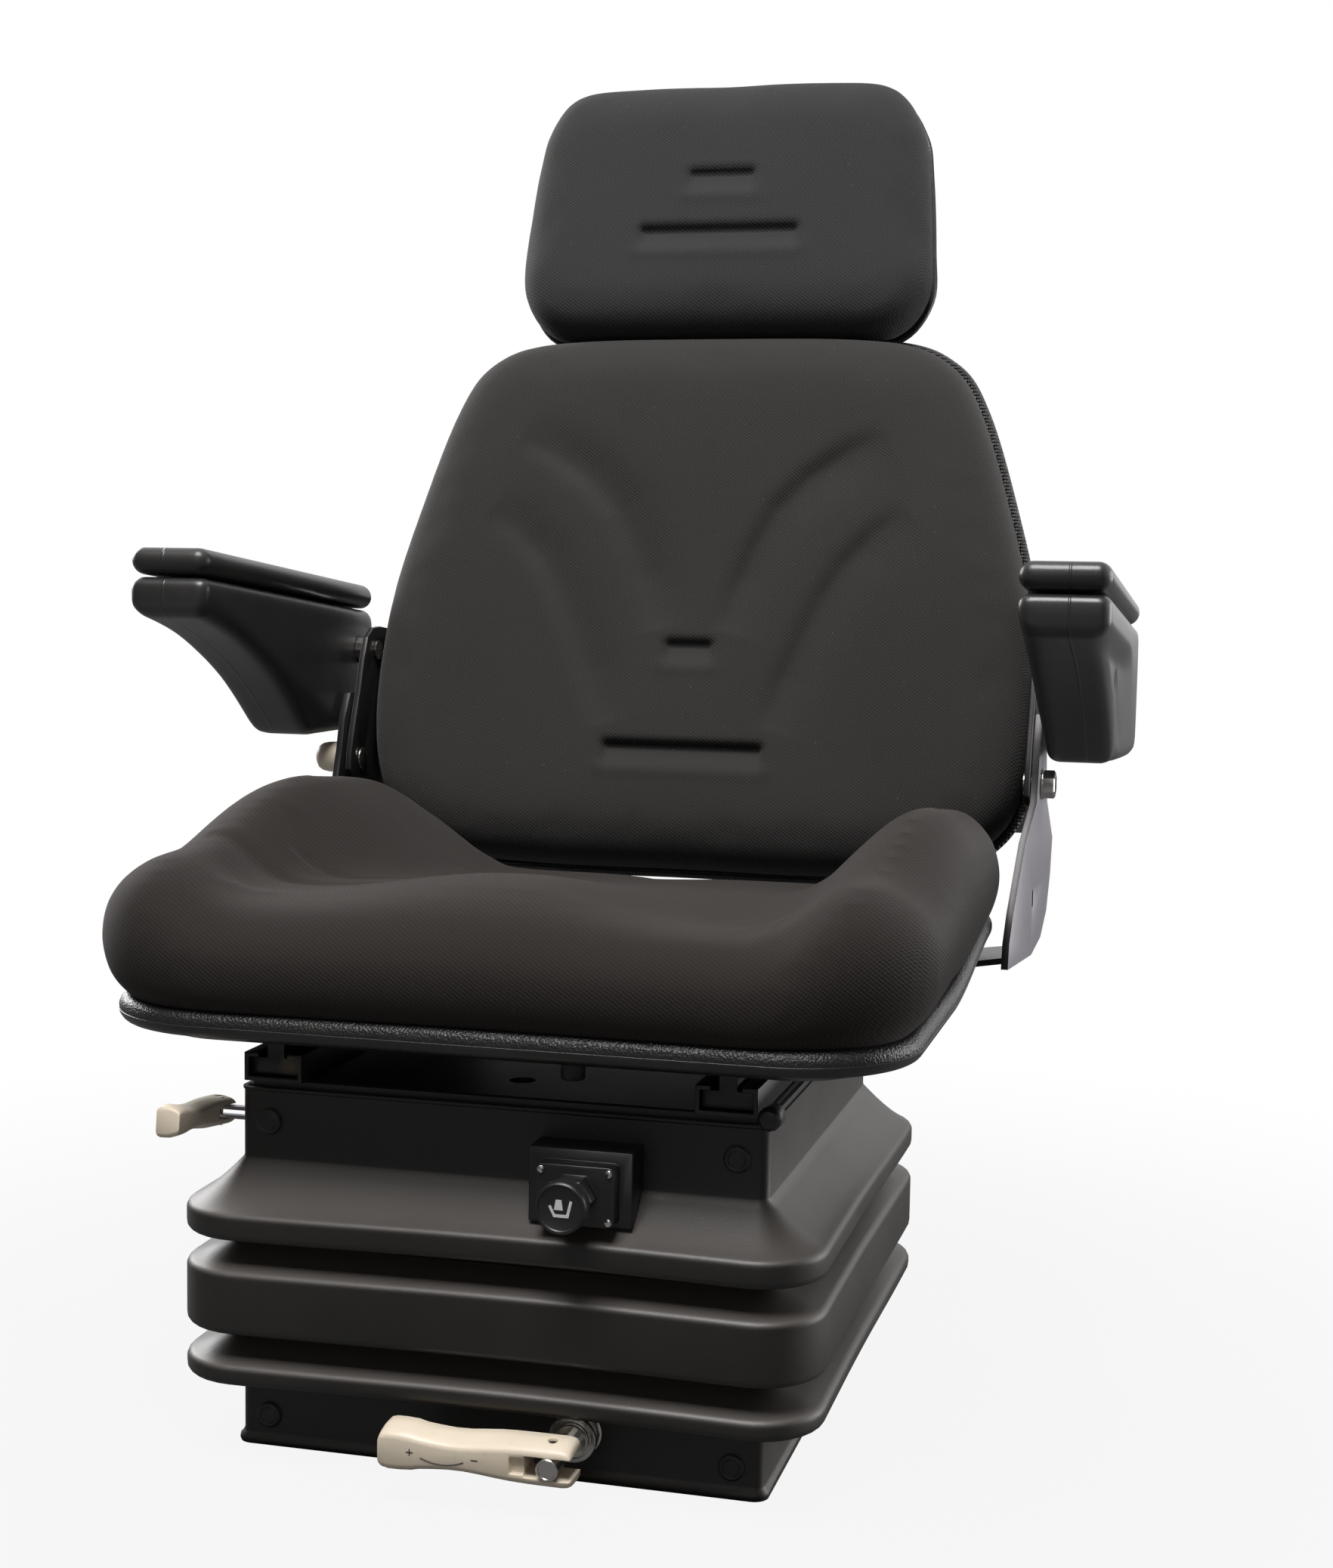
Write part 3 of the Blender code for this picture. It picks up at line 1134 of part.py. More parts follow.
def make_recline_knob():
    """Rounded clamp knob on the left end of the recline pivot."""
    start = -(BRACKET_X + BRACKET_THICKNESS + 0.002 + 2 * FIT)
    radius = RECLINE_KNOB_RADIUS
    profile = ((0, start), (radius - 0.003, start), (radius, start - 0.004), (radius, start - 0.011),
               (radius - 0.002, start - 0.016), (radius - 0.006, start - 0.019), (0, start - 0.020))
    return part("recline_knob", lathe(profile, "X", RECLINE_AXIS, 20), "cream plastic",
                (start, RECLINE_Y, RECLINE_HEIGHT))


def make_crossbar():
    """Steel strip behind the shell's foot that ties the plates, with a narrower angle under it."""
    back = BACK_DEPTH + FIT
    wide = BACK_PLATE_X - FIT
    strip = ((back, 0.030), (back + PLATE, 0.030), (back + PLATE, 0.074), (back, 0.074))
    bar = part("back_crossbar", skin([[back_point(x, height, depth) for depth, height in strip]
                                      for x in (-wide, wide)]), "grey steel", RECLINE_AXIS)
    round_edges(bar, 0.001)
    top = -2 * FIT
    low = top - PLATE
    front = BACK_RIM_DEPTH
    angle = ((back + PLATE - FIT, 0.040), (back + PLATE - FIT, low), (front + PLATE, low),
             (front + PLATE, low - 0.010), (front, low - 0.010), (front, top), (back + FIT, top),
             (back + FIT, 0.040))
    fuse(bar, skin([[back_point(x, height, depth) for depth, height in angle] for x in (-0.14, 0.14)]))
    return bar


# Headrest


def make_posts():
    """One bent tube: both posts and the bar that joins them inside the headrest."""
    top = HEADREST_FOOT + HEADREST_TALL * 0.62
    bend = 0.018
    path = [back_point(-POST_X, POST_FOOT, POST_DEPTH), back_point(-POST_X, top - bend, POST_DEPTH)]
    for k in range(1, 5):
        angle = math.pi / 2 * k / 4
        path.append(back_point(-POST_X + bend * (1 - math.cos(angle)),
                               top - bend + bend * math.sin(angle), POST_DEPTH))
    path += [(-x, y, z) for x, y, z in reversed(path)]
    return path


def make_headrest():
    outline = [(x, height + HEADREST_FOOT) for x, height in full_outline(HEADREST_HALF_OUTLINE)]
    front = HEADREST_FRONT
    rear = front + HEADREST_DEPTH
    origin = back_point(0, HEADREST_FOOT, POST_DEPTH)
    posts = part("headrest_posts", tube(make_posts(), POST_RADIUS, 10), "black paint", origin)
    split = rear - 0.006
    cushion = part("headrest_cushion", skin(back_rings(outline, (
        (split - FIT, 0.003), (split - 0.014, 0.0), (front + 0.020, 0.0), (front + 0.007, 0.007),
        (front, 0.024)))), "fabric", origin)
    shell = part("headrest_shell", skin(back_rings(outline, (
        (rear + 0.008, 0.026), (rear + 0.002, 0.008), (split, 0.003)))), "black plastic", origin)
    cut(cushion, tube(make_posts(), POST_RADIUS + 0.0008, 8))
    cut(shell, tube(make_posts(), POST_RADIUS + 0.0008, 8))
    return [posts, cushion, shell]


# Armrests


def armrest_profile():
    """Side view (y, height): a flat pad on top, a nose in front and a sweep down to the hinge."""
    return [(0.040, 0.5005), (0.298, 0.4760), (0.3055, 0.4690), (0.3060, 0.4300), (0.3020, 0.3880),
            (0.2900, 0.3735), (0.2060, 0.3725), (0.1950, 0.3770), (0.1700, 0.3960), (0.1320, 0.4180),
            (0.0880, 0.4380), (0.0490, 0.4510), (0.0320, 0.4570), (0.0230, 0.4680), (0.0210, 0.4860),
            (0.0260, 0.4970)]


def armrest(side, word):
    """One-piece moulded armrest with rounded flanks, a parting groove and a blind pin bore."""
    profile = armrest_profile()[::-1]
    far = ARMREST_X + ARMREST_WIDTH
    stations = ((ARMREST_X, ARMREST_ROUND), (ARMREST_X + ARMREST_ROUND * 0.3, ARMREST_ROUND * 0.3),
                (ARMREST_X + ARMREST_ROUND, 0.0), (far - ARMREST_ROUND, 0.0),
                (far - ARMREST_ROUND * 0.3, ARMREST_ROUND * 0.3), (far, ARMREST_ROUND))
    rings = [[(side * x, y, z) for y, z in inset(profile, gap)] for x, gap in stations]
    piece = part("armrest_" + word, skin(rings), "moulded foam", (side * ARMREST_X, *ARM_AXIS[1:]))
    cut(piece, groove_ring(side),
        rod(ARM_PIN_RADIUS + FIT, "X", (0, *ARM_AXIS[1:]),
            *sorted((side * (ARMREST_X - 0.01), side * (ARMREST_X + ARM_PIN_REACH + FIT)))))
    return piece


def groove_ring(side):
    """Ring-shaped cutter for the groove under the pad, following the pad's slope."""
    slope = (0.4760 - 0.5005) / (0.298 - 0.036)
    outer = [(ARMREST_X - 0.02, -0.02), (ARMREST_X + ARMREST_WIDTH + 0.02, -0.02),
             (ARMREST_X + ARMREST_WIDTH + 0.02, 0.35), (ARMREST_X - 0.02, 0.35)]
    depth = 0.0025
    inner = [(ARMREST_X + depth, 0.018 + depth), (ARMREST_X + ARMREST_WIDTH - depth, 0.018 + depth),
             (ARMREST_X + ARMREST_WIDTH - depth, 0.3055 - depth), (ARMREST_X + depth, 0.3055 - depth)]
    rings = []
    for outline, shift in ((outer, 0.001), (inner, 0.0004), (inner, -0.0004), (outer, -0.001)):
        rings.append([(side * x, y, 0.5005 - ARMREST_GROOVE + slope * (y - 0.036) + shift)
                      for x, y in outline])
    return skin(rings, loop=True)


def arm_pin(side, word):
    """Headed pin from the back plate into the armrest, on the armrest's hinge axis."""
    inner = BACK_PLATE_X - FIT
    shank = ARM_PIN_RADIUS
    plate = BACK_PLATE_X + BACK_PLATE_THICKNESS + FIT
    end = ARMREST_X + ARM_PIN_REACH
    profile = [(0, inner - 0.0015), (shank + 0.002, inner - 0.0015), (shank + 0.002, inner),
               (shank, inner), (shank, plate), (0.010, plate), (0.010, ARMREST_X - FIT),
               (shank, ARMREST_X - FIT), (shank, end), (0, end)]
    if side < 0:
        profile = [(radius, -along) for radius, along in profile]
    place = (0, *ARM_AXIS[1:])
    return part("arm_pin_" + word, lathe(profile, "X", place), "bright steel", place)


# Assembly

axis_frame("base_frame", (0, 0, 0), *make_base())
axis_frame("upper_frame", (0, 0, TOP_SURFACE), *make_upper_frame())
outer_arms, inner_arms = make_arms()
axis_frame("outer_arm_axis", (0, PIVOT_Y, LOWER_PIVOT_HEIGHT), *outer_arms)
axis_frame("inner_arm_axis", (0, PIVOT_Y, UPPER_PIVOT_HEIGHT), *inner_arms)
axis_frame("upper_axle_axis", (0, AXLE_Y, UPPER_PIVOT_HEIGHT), *make_axle("upper", UPPER_PIVOT_HEIGHT))
axis_frame("lower_axle_axis", (0, AXLE_Y, LOWER_PIVOT_HEIGHT), *make_axle("lower", LOWER_PIVOT_HEIGHT))

PIN_PLACE = (SPINDLE_X, HANDLE_Y, SPINDLE_HEIGHT)
axis_frame("spindle_axis", (SPINDLE_X, 0, SPINDLE_HEIGHT), make_spindle(),
           handle_pin("weight_handle_pin", PIN_PLACE, 0.0115))
axis_frame("weight_handle_axis", PIN_PLACE, make_handle("weight_handle", 0.0, PIN_PLACE))
axis_frame("traveller_axis", (SPINDLE_X, TRAVELLER_Y, SPINDLE_HEIGHT), make_traveller())
axis_frame("spring_anchor", (SPINDLE_X, TRAVELLER_Y, SPRING_HEIGHT), make_spring(-1, "left"),
           make_spring(1, "right"))
axis_frame("yoke_axis", (SPINDLE_X, YOKE_REAR, SPRING_HEIGHT), make_yoke())
axis_frame("knob_axis", (KNOB_X, KNOB_FACE_Y, KNOB_HEIGHT), make_height_knob())
LEVER_PLACE = (LEVER_X, LEVER_Y, LEVER_HEIGHT)
lever = axis_frame("lever_axis", LEVER_PLACE, make_lever_strap(),
                   handle_pin("lever_pin", LEVER_PLACE, 0.008),
                   make_handle("height_lever", math.pi / 2, LEVER_PLACE, LEVER_SCALE))
lever.rotation_euler.x = LEVER_TILT

seat_pieces = [make_pan(), make_cushion()]
back_pieces = [make_back_shell(), make_back_cushion(), make_crossbar()]
for hand_side, hand_word in ((-1, "left"), (1, "right")):
    seat_pieces += [upper_rail(hand_side, hand_word), side_bracket(hand_side, hand_word)]
    back_pieces += [back_plate(hand_side, hand_word), hex_bolt(hand_side, hand_word),
                    arm_pin(hand_side, hand_word)]
    axis_frame("armrest_axis_" + hand_word, (hand_side * ARMREST_X, *ARM_AXIS[1:]),
               armrest(hand_side, hand_word))
axis_frame("slide_axis", (0, 0, TOP_SURFACE), *seat_pieces)
axis_frame("slide_lever_axis", (SLIDE_LEVER_X, SLIDE_PIVOT_Y, SLIDE_LEVER_HEIGHT), make_slide_lever())
axis_frame("recline_axis", RECLINE_AXIS, *back_pieces)
axis_frame("recline_knob_axis", RECLINE_AXIS, make_recline_knob())
axis_frame("headrest_axis", back_point(0, HEADREST_FOOT, POST_DEPTH), *make_headrest())
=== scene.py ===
"""The looks of a tractor suspension seat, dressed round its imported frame.

The file follows the seat as it is put together: view and light, gaiter and suspension, controls,
rails, pan and cushion, brackets, backrest, headrest and armrests.
Metres, the seat faces -Y, and +X is to the right in the picture.
"""

import math

import bmesh
import bpy
import numpy as np
from mathutils import Matrix, Vector


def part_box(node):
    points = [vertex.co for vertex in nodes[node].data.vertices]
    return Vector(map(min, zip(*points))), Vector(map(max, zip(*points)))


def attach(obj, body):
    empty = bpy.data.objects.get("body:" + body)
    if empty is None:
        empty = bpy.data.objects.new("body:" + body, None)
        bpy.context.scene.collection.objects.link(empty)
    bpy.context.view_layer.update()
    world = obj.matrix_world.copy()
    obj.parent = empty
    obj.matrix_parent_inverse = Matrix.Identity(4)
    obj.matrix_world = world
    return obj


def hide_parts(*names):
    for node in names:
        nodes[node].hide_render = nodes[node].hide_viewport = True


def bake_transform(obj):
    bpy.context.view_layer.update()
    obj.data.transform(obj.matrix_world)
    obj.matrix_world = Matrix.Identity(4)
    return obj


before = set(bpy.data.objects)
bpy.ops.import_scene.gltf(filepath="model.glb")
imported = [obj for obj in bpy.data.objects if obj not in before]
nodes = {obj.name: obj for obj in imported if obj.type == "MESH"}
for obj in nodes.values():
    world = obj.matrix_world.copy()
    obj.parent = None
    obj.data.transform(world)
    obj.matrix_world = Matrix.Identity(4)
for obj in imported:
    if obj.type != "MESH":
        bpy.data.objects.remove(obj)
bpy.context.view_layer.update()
bpy.ops.object.select_all(action="DESELECT")

# View: the photograph's own, from a little to the right of the seat's middle and slightly
# above it, rolled by less than a degree.
VIEW_PLACE = (0.3968, -1.3248, 0.4977)
VIEW_TURN = math.radians(14.552)
VIEW_DIP = math.radians(5.453)
VIEW_ROLL = math.radians(0.8986)
camera = bpy.data.objects.new("camera", bpy.data.cameras.new("camera"))
camera.data.sensor_width = 36.0
camera.data.lens = 53.67
camera.matrix_world = (Matrix.Translation(VIEW_PLACE) @ Matrix.Rotation(VIEW_TURN, 4, "Z")
                       @ Matrix.Rotation(math.pi / 2 - VIEW_DIP, 4, "X")
                       @ Matrix.Rotation(VIEW_ROLL, 4, "Z"))
bpy.context.collection.objects.link(camera)
bpy.context.scene.camera = camera
bpy.context.scene.view_settings.view_transform = "Standard"


class Wire:
    """A value in a node tree. Sums on it add Math nodes."""

    def __init__(self, tree, socket):
        self.tree = tree
        self.socket = socket

    def sum(self, operation, *terms):
        node = self.tree.nodes.new("ShaderNodeMath")
        node.operation = operation
        for slot, term in zip(node.inputs, terms):
            if isinstance(term, Wire):
                self.tree.links.new(term.socket, slot)
            else:
                slot.default_value = term
        return Wire(self.tree, node.outputs[0])

    def __add__(self, other):
        return self.sum("ADD", self, other)

    def __sub__(self, other):
        return self.sum("SUBTRACT", self, other)

    def __rsub__(self, other):
        return self.sum("SUBTRACT", other, self)

    def __mul__(self, other):
        return self.sum("MULTIPLY", self, other)

    def __pow__(self, other):
        return self.sum("POWER", self, other)

    __radd__ = __add__
    __rmul__ = __mul__

    def sine(self):
        return self.sum("SINE", self)

    def size(self):
        return self.sum("ABSOLUTE", self)

    def step(self, low, high):
        """0 below low, 1 above high, smooth between them."""
        node = self.tree.nodes.new("ShaderNodeMapRange")
        node.interpolation_type = "SMOOTHSTEP"
        self.tree.links.new(self.socket, node.inputs["Value"])
        node.inputs["From Min"].default_value = low
        node.inputs["From Max"].default_value = high
        return Wire(self.tree, node.outputs[0])


class Finish:
    """A material or a world, built up node by node."""

    def __init__(self, holder, shader="Principled BSDF"):
        holder.use_nodes = True
        self.holder = holder
        self.tree = holder.node_tree
        self.shader = self.tree.nodes[shader]

    def put(self, socket, value):
        if isinstance(value, Wire):
            self.tree.links.new(value.socket, socket)
        elif isinstance(value, tuple) and len(value) == 3 and len(socket.default_value) == 4:
            socket.default_value = (*value, 1.0)
        else:
            socket.default_value = value

    def node(self, kind, settings=None, inputs=None, output=0):
        made = self.tree.nodes.new("ShaderNode" + kind)
        for name, value in (settings or {}).items():
            setattr(made, name, value)
        for name, value in (inputs or {}).items():
            self.put(made.inputs[name], value)
        return Wire(self.tree, made.outputs[output])

    def set(self, **values):
        for name, value in values.items():
            self.put(self.shader.inputs[name.replace("_", " ")], value)

    def place(self):
        return self.node("TexCoord", output="Object")

    def axis(self, direction):
        """The position along a direction, in metres."""
        return self.node("VectorMath", {"operation": "DOT_PRODUCT"},
                         {0: self.place(), 1: direction}, output="Value")

    def noise(self, scale, detail=4.0, roughness=0.55, stretch=(1, 1, 1)):
        place = self.node("Mapping", None, {"Vector": self.place(), "Scale": stretch})
        return self.node("TexNoise", None, {"Vector": place, "Scale": scale, "Detail": detail,
                                            "Roughness": roughness})

    def between(self, share, low, high):
        """A colour from low to high."""
        made = self.tree.nodes.new("ShaderNodeMix")
        made.data_type = "RGBA"
        for slot, value in ((0, share), (6, low), (7, high)):
            self.put(made.inputs[slot], value)
        return Wire(self.tree, made.outputs[2])

    def facing(self, axis):
        """How far the surface looks along an axis, from -1 to 1."""
        normal = self.node("NewGeometry", output="Normal")
        return self.node("SeparateXYZ", None, {0: normal}, output=axis)

    def relief(self, height, distance, strength):
        return self.node("Bump", None, {"Height": height, "Distance": distance, "Strength": strength})


def material(name):
    return Finish(bpy.data.materials.new(name))


# Floor and light: a pale floor and a white room, a broad lamp behind the seat on each side,
# one overhead and a weak one in front.
FLOOR_SIZE = 24.0
FLOOR_LEVEL = -0.0004
bpy.ops.mesh.primitive_plane_add(size=FLOOR_SIZE, location=(0, 0, FLOOR_LEVEL))
floor = bpy.context.object
floor.name = "floor"
floor_white = material("floor white")
floor_white.set(Base_Color=(0.14, 0.14, 0.14), Roughness=0.9, Specular_IOR_Level=0.1)
seen = floor_white.node("LightPath", output="Is Camera Ray")
distance = floor_white.node("VectorMath", {"operation": "LENGTH"}, {0: floor_white.place()},
                            output="Value")
clean = floor_white.node("Emission", None, {"Color": (1, 1, 1), "Strength": 1.0})
mixed = floor_white.node("MixShader", None, {0: seen * (0.90 + 0.10 * distance.step(0.3, 1.1))})
floor_white.tree.links.new(floor_white.shader.outputs[0], mixed.socket.node.inputs[1])
floor_white.tree.links.new(clean.socket, mixed.socket.node.inputs[2])
floor_white.tree.links.new(mixed.socket, floor_white.tree.nodes["Material Output"].inputs["Surface"])
floor.data.materials.append(floor_white.holder)

room = Finish(bpy.context.scene.world or bpy.data.worlds.new("room"), "Background")
bpy.context.scene.world = room.holder
ROOM_LEVEL = 0.05
ray = room.node("LightPath", output="Is Camera Ray")
glossy = room.node("LightPath", output="Is Glossy Ray")
sharp = room.node("LightPath", output="Is Transmission Ray")
toward = room.node("TexCoord", output="Generated")
backdrop = room.node("SeparateXYZ", None, {0: toward}, output="Y").step(0.10, 0.85)
ceiling = room.node("SeparateXYZ", None, {0: toward}, output="Z").step(0.45, 1.0)
glow = backdrop * 0.92 + ceiling * 0.60 + 0.08
shine = glow.sum("MINIMUM", glow, 1.0)
room.set(Color=(1.0, 1.0, 1.0),
         Strength=(ray + glossy * shine + sharp) * (1.0 - ROOM_LEVEL) + ROOM_LEVEL)

# Name, place, target, size and power of each lamp.
LAMPS = (("lamp_right", (1.75, 0.95, 0.4), (0.0, 0.0, 0.15), 1.3, 22.0),
         ("lamp_above", (0.0, -0.95, 2.65), (0.0, 0.0, 0.4), 1.3, 94.0),
         ("lamp_left", (-1.7, 1.0, 1.1), (0.0, 0.0, 0.3), 1.0, 34.0),
         ("lamp_front", (0.2, -2.9, 1.3), (0.0, 0.0, 0.4), 1.6, 4.0))
for lamp_name, lamp_place, target, lamp_size, power in LAMPS:
    lamp = bpy.data.objects.new(lamp_name, bpy.data.lights.new(lamp_name, "AREA"))
    lamp.data.size = lamp_size
    lamp.data.energy = power
    lamp.location = lamp_place
    lamp.rotation_euler = (Vector(target) - Vector(lamp_place)).to_track_quat("-Z", "Y").to_euler()
    bpy.context.collection.objects.link(lamp)


# Gaiter: a black moulded rubber bellows over the whole suspension, with plain collars at its
# foot and top, two shallow folds, a tall one between them and a sloping skirt.
COLLAR_WIDE = 0.150
COLLAR_DEEP = 0.148
COLLAR_CORNER = 0.006
GAITER_TOP = 0.2037
GAITER_WALL = 0.0026
FOLD_REACH = 0.032
FOLD_ROUND = 0.0045
GROOVE_REACH = 0.006
# The foot and the top of each fold.
FOLDS = ((0.045, 0.057), (0.0735, 0.1095), (0.126, 0.142))
PORT_RADIUS = 0.009
COLLAR_LINE = 0.041
SKIRT_TOP = 0.164


def pick(piece):
    """The piece alone is selected and active."""
    bpy.ops.object.select_all(action="DESELECT")
    piece.select_set(True)
    bpy.context.view_layer.objects.active = piece
    return piece


def placed(name, data):
    """A new object that holds the data, selected and active."""
    made = bpy.data.objects.new(name, data)
    bpy.context.collection.objects.link(made)
    return pick(made)


def loft(name, rings, closed=False):
    """A mesh through closed rings of points; its ends are filled, or joined to each other."""
    bm = bmesh.new()
    lines = [[bm.verts.new(point) for point in ring] for ring in rings]
    pairs = list(zip(lines, lines[1:]))
    if closed:
        pairs.append((lines[-1], lines[0]))
    elif closed is False:
        bm.faces.new(lines[0][::-1])
        bm.faces.new(lines[-1])
    for lower, upper in pairs:
        for i, vert in enumerate(lower):
            after = (i + 1) % len(lower)
            bm.faces.new((vert, lower[after], upper[after], upper[i]))
    bmesh.ops.recalc_face_normals(bm, faces=bm.faces)
    mesh = bpy.data.meshes.new(name)
    bm.to_mesh(mesh)
    bm.free()
    return placed(name, mesh)


def apply(piece, kind, **settings):
    """A modifier with these settings, applied at once."""
    pick(piece)
    step = piece.modifiers.new(kind.title(), kind)
    for name, value in settings.items():
        setattr(step, name, value)
    bpy.ops.object.modifier_apply(modifier=step.name)
    return piece


def cut(piece, cutter):
    """Takes the cutter's volume out of the piece."""
    apply(piece, "BOOLEAN", operation="DIFFERENCE", object=cutter)
    bpy.data.objects.remove(cutter)


def divided(start, end, pieces):
    """The way from start to end in equal pieces, without its end."""
    return [(start[0] + (end[0] - start[0]) * k / pieces,
             start[1] + (end[1] - start[1]) * k / pieces) for k in range(pieces)]


def rounded(half_wide, half_deep, corner, corner_steps=8, side_steps=12, centre=(0, 0)):
    """A rounded rectangle, counter-clockwise, its sides divided evenly."""
    spots = []
    for quarter, (sx, sy) in enumerate(((1, 1), (-1, 1), (-1, -1), (1, -1))):
        x, y = sx * (half_wide - corner), sy * (half_deep - corner)
        for k in range(corner_steps + 1):
            angle = math.pi / 2 * (quarter + k / corner_steps)
            spots.append((centre[0] + x + corner * math.cos(angle),
                          centre[1] + y + corner * math.sin(angle)))
    line = []
    for i, (start, end) in enumerate(zip(spots, spots[1:] + spots[:1])):
        line += divided(start, end, side_steps if i % (corner_steps + 1) == corner_steps else 1)
    return line


def arc(centre, radius, start, end, steps=5):
    """Points on an arc, its angles in degrees."""
    angles = [math.radians(start + (end - start) * k / steps) for k in range(steps + 1)]
    return [(centre[0] + radius * math.cos(a), centre[1] + radius * math.sin(a)) for a in angles]


def bellows_line():
    """The gaiter's outer wall from its foot up, as (reach, height)."""
    line = [(0.0022, 0.0006), (0.0028, 0.0022), (0.0024, 0.0044), (0.0008, 0.0060), (0.0, 0.0080),
            (0.0, COLLAR_LINE - 0.0012), (0.0010, COLLAR_LINE)]
    out = FOLD_REACH - FOLD_ROUND
    for number, (low, high) in enumerate(FOLDS, 1):
        line += arc((out, low + FOLD_ROUND), FOLD_ROUND, -88, 0)
        line += arc((out, high - FOLD_ROUND), FOLD_ROUND, 0, 80)
        if number < len(FOLDS):
            middle = (high + FOLDS[number][0]) / 2
            line += [(GROOVE_REACH + 0.0022, middle - 0.0018), (GROOVE_REACH, middle),
                     (GROOVE_REACH + 0.0022, middle + 0.0018)]
    top = FOLDS[-1][1]
    for k in range(1, 6):
        share = k / 6
        height = top + (SKIRT_TOP - top) * (share - 0.07 * math.sin(math.pi * share))
        line.append((out * (1 - share), height))
    return line + [(0.0004, SKIRT_TOP - 0.0004), (0.0, SKIRT_TOP + 0.0008), (0.0, GAITER_TOP - 0.0022),
                   (0.0008, GAITER_TOP - 0.0012), (0.0008, GAITER_TOP)]


def slack(x, y, reach):
    """Moulded rubber is never quite straight: the folds wander by a millimetre."""
    share = min(reach / FOLD_REACH, 1.0)
    return 0.0011 * share * (math.sin(17 * x + 1.1) + math.sin(19 * y + 2.3))


gaiter_rings = []
for reach, height in bellows_line():
    ring = rounded(COLLAR_WIDE + reach, COLLAR_DEEP + reach, COLLAR_CORNER + reach)
    gaiter_rings.append([(x, y, height + slack(x, y, reach)) for x, y in ring])
gaiter = loft("gaiter_bellows", gaiter_rings, closed=None)
apply(gaiter, "SOLIDIFY", thickness=GAITER_WALL, offset=-1.0)
LEVER_PLACE = (-0.174, -0.126, 0.183)
bpy.ops.mesh.primitive_cylinder_add(vertices=32, radius=PORT_RADIUS, depth=0.03, rotation=(0, math.pi / 2, 0),
                                    location=(-COLLAR_WIDE, *LEVER_PLACE[1:]))
cut(gaiter, bpy.context.object)

rubber = material("gaiter rubber")
cloud = rubber.noise(9.0, 5.0, 0.6)
grain = rubber.noise(900.0, 2.0)
scuff = rubber.noise(60.0, 6.0, 0.7, (1, 1, 3)).step(0.60, 0.78)
# Painted light: faces turned up and faces turned to either side get a paler colour, where the lamps above and
# at the sides fall.
painted_top_light = rubber.facing("Z").step(0.20, 0.85)
painted_side_light = rubber.facing("X").size().step(0.5, 0.95)
rubber.set(Base_Color=rubber.between(cloud * 0.20 + painted_top_light * 0.75 + painted_side_light * cloud * 0.90,
                                     (0.0056, 0.0046, 0.0041), (0.0900, 0.0785, 0.0715)),
           Roughness=0.36 + cloud * 0.16 + scuff * 0.10,
           Normal=rubber.relief(grain + cloud * 6.0, 0.00012, 0.6))


def dress(piece, finish, body, slot, *replaced, angle=40):
    """Smooth shading, material, the body it rides on and the nodes that it replaces; the slot is not used."""
    pick(piece)
    bpy.ops.object.shade_smooth_by_angle(angle=math.radians(angle))
    piece.data.materials.clear()
    piece.data.materials.append(finish.holder)
    if isinstance(body, str):
        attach(piece, body)
    else:
        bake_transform(piece)
    if replaced:
        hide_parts(*replaced)
    return piece


dress(gaiter, rubber, ("base", "upper_frame", (0, 0, 0.038), (0, 0, 0.166)), "gaiter_rubber",
      "gaiter", angle=34)


# Button plugs: moulded rubber buttons, 15 mm across, that pin the collars to the two pans,
# two at the front and two at the rear of each.
PLUG_RADIUS = 0.0073
PLUG_X = 0.133
LOWER_PLUGS = 0.0175
UPPER_PLUGS = 0.185


def turned(name, profile, place, axis="Z", sides=48):
    """A round piece drawn up from a disc by (radius, height) steps, then laid along an axis."""
    radius, height = profile[0]
    bpy.ops.object.select_all(action="DESELECT")
    bpy.ops.mesh.primitive_circle_add(vertices=sides, radius=radius, fill_type="NGON",
                                      location=(0, 0, 0))
    piece = bpy.context.object
    piece.name = name
    bpy.ops.object.mode_set(mode="EDIT")
    bpy.ops.mesh.select_all(action="SELECT")
    bpy.ops.transform.translate(value=(0, 0, height))
    for (before, low), (after, high) in zip(profile, profile[1:]):
        bpy.ops.mesh.extrude_region_move(TRANSFORM_OT_translate={"value": (0, 0, high - low)})
        if after != before:
            share = after / before
            bpy.ops.transform.resize(value=(share, share, 1), center_override=(0, 0, high))
    bpy.ops.mesh.select_all(action="SELECT")
    bpy.ops.mesh.normals_make_consistent(inside=False)
    bpy.ops.object.mode_set(mode="OBJECT")
    piece.rotation_euler = {"Z": (0, 0, 0), "-Y": (math.pi / 2, 0, 0), "Y": (-math.pi / 2, 0, 0),
                            "-X": (0, -math.pi / 2, 0)}[axis]
    piece.location = place
    bpy.ops.object.transform_apply(location=True, rotation=True, scale=True)
    return piece


def joined(name, pieces):
    """Several pieces made one object."""
    pick(pieces[0])
    for other in pieces[1:]:
        other.select_set(True)
    bpy.ops.object.join()
    pieces[0].name = name
    return pieces[0]


PLUG_STEPS = ((PLUG_RADIUS, -0.0004), (PLUG_RADIUS, 0.0012), (PLUG_RADIUS - 0.0004, 0.0020),
              (PLUG_RADIUS - 0.0014, 0.0025), (PLUG_RADIUS - 0.0024, 0.0024),
              (PLUG_RADIUS - 0.0030, 0.0019), (0.0010, 0.0021))
for word, plug_height, plug_body in (("lower", LOWER_PLUGS, "base"), ("upper", UPPER_PLUGS, "upper_frame")):
    buttons = [turned("button", PLUG_STEPS, (x, side * (COLLAR_DEEP + 0.0002), plug_height), lay, 40)
               for side, lay in ((-1, "-Y"), (1, "Y")) for x in (-PLUG_X, PLUG_X)]
    dress(joined(word + "_button_plugs", buttons), rubber, plug_body, "gaiter_rubber")


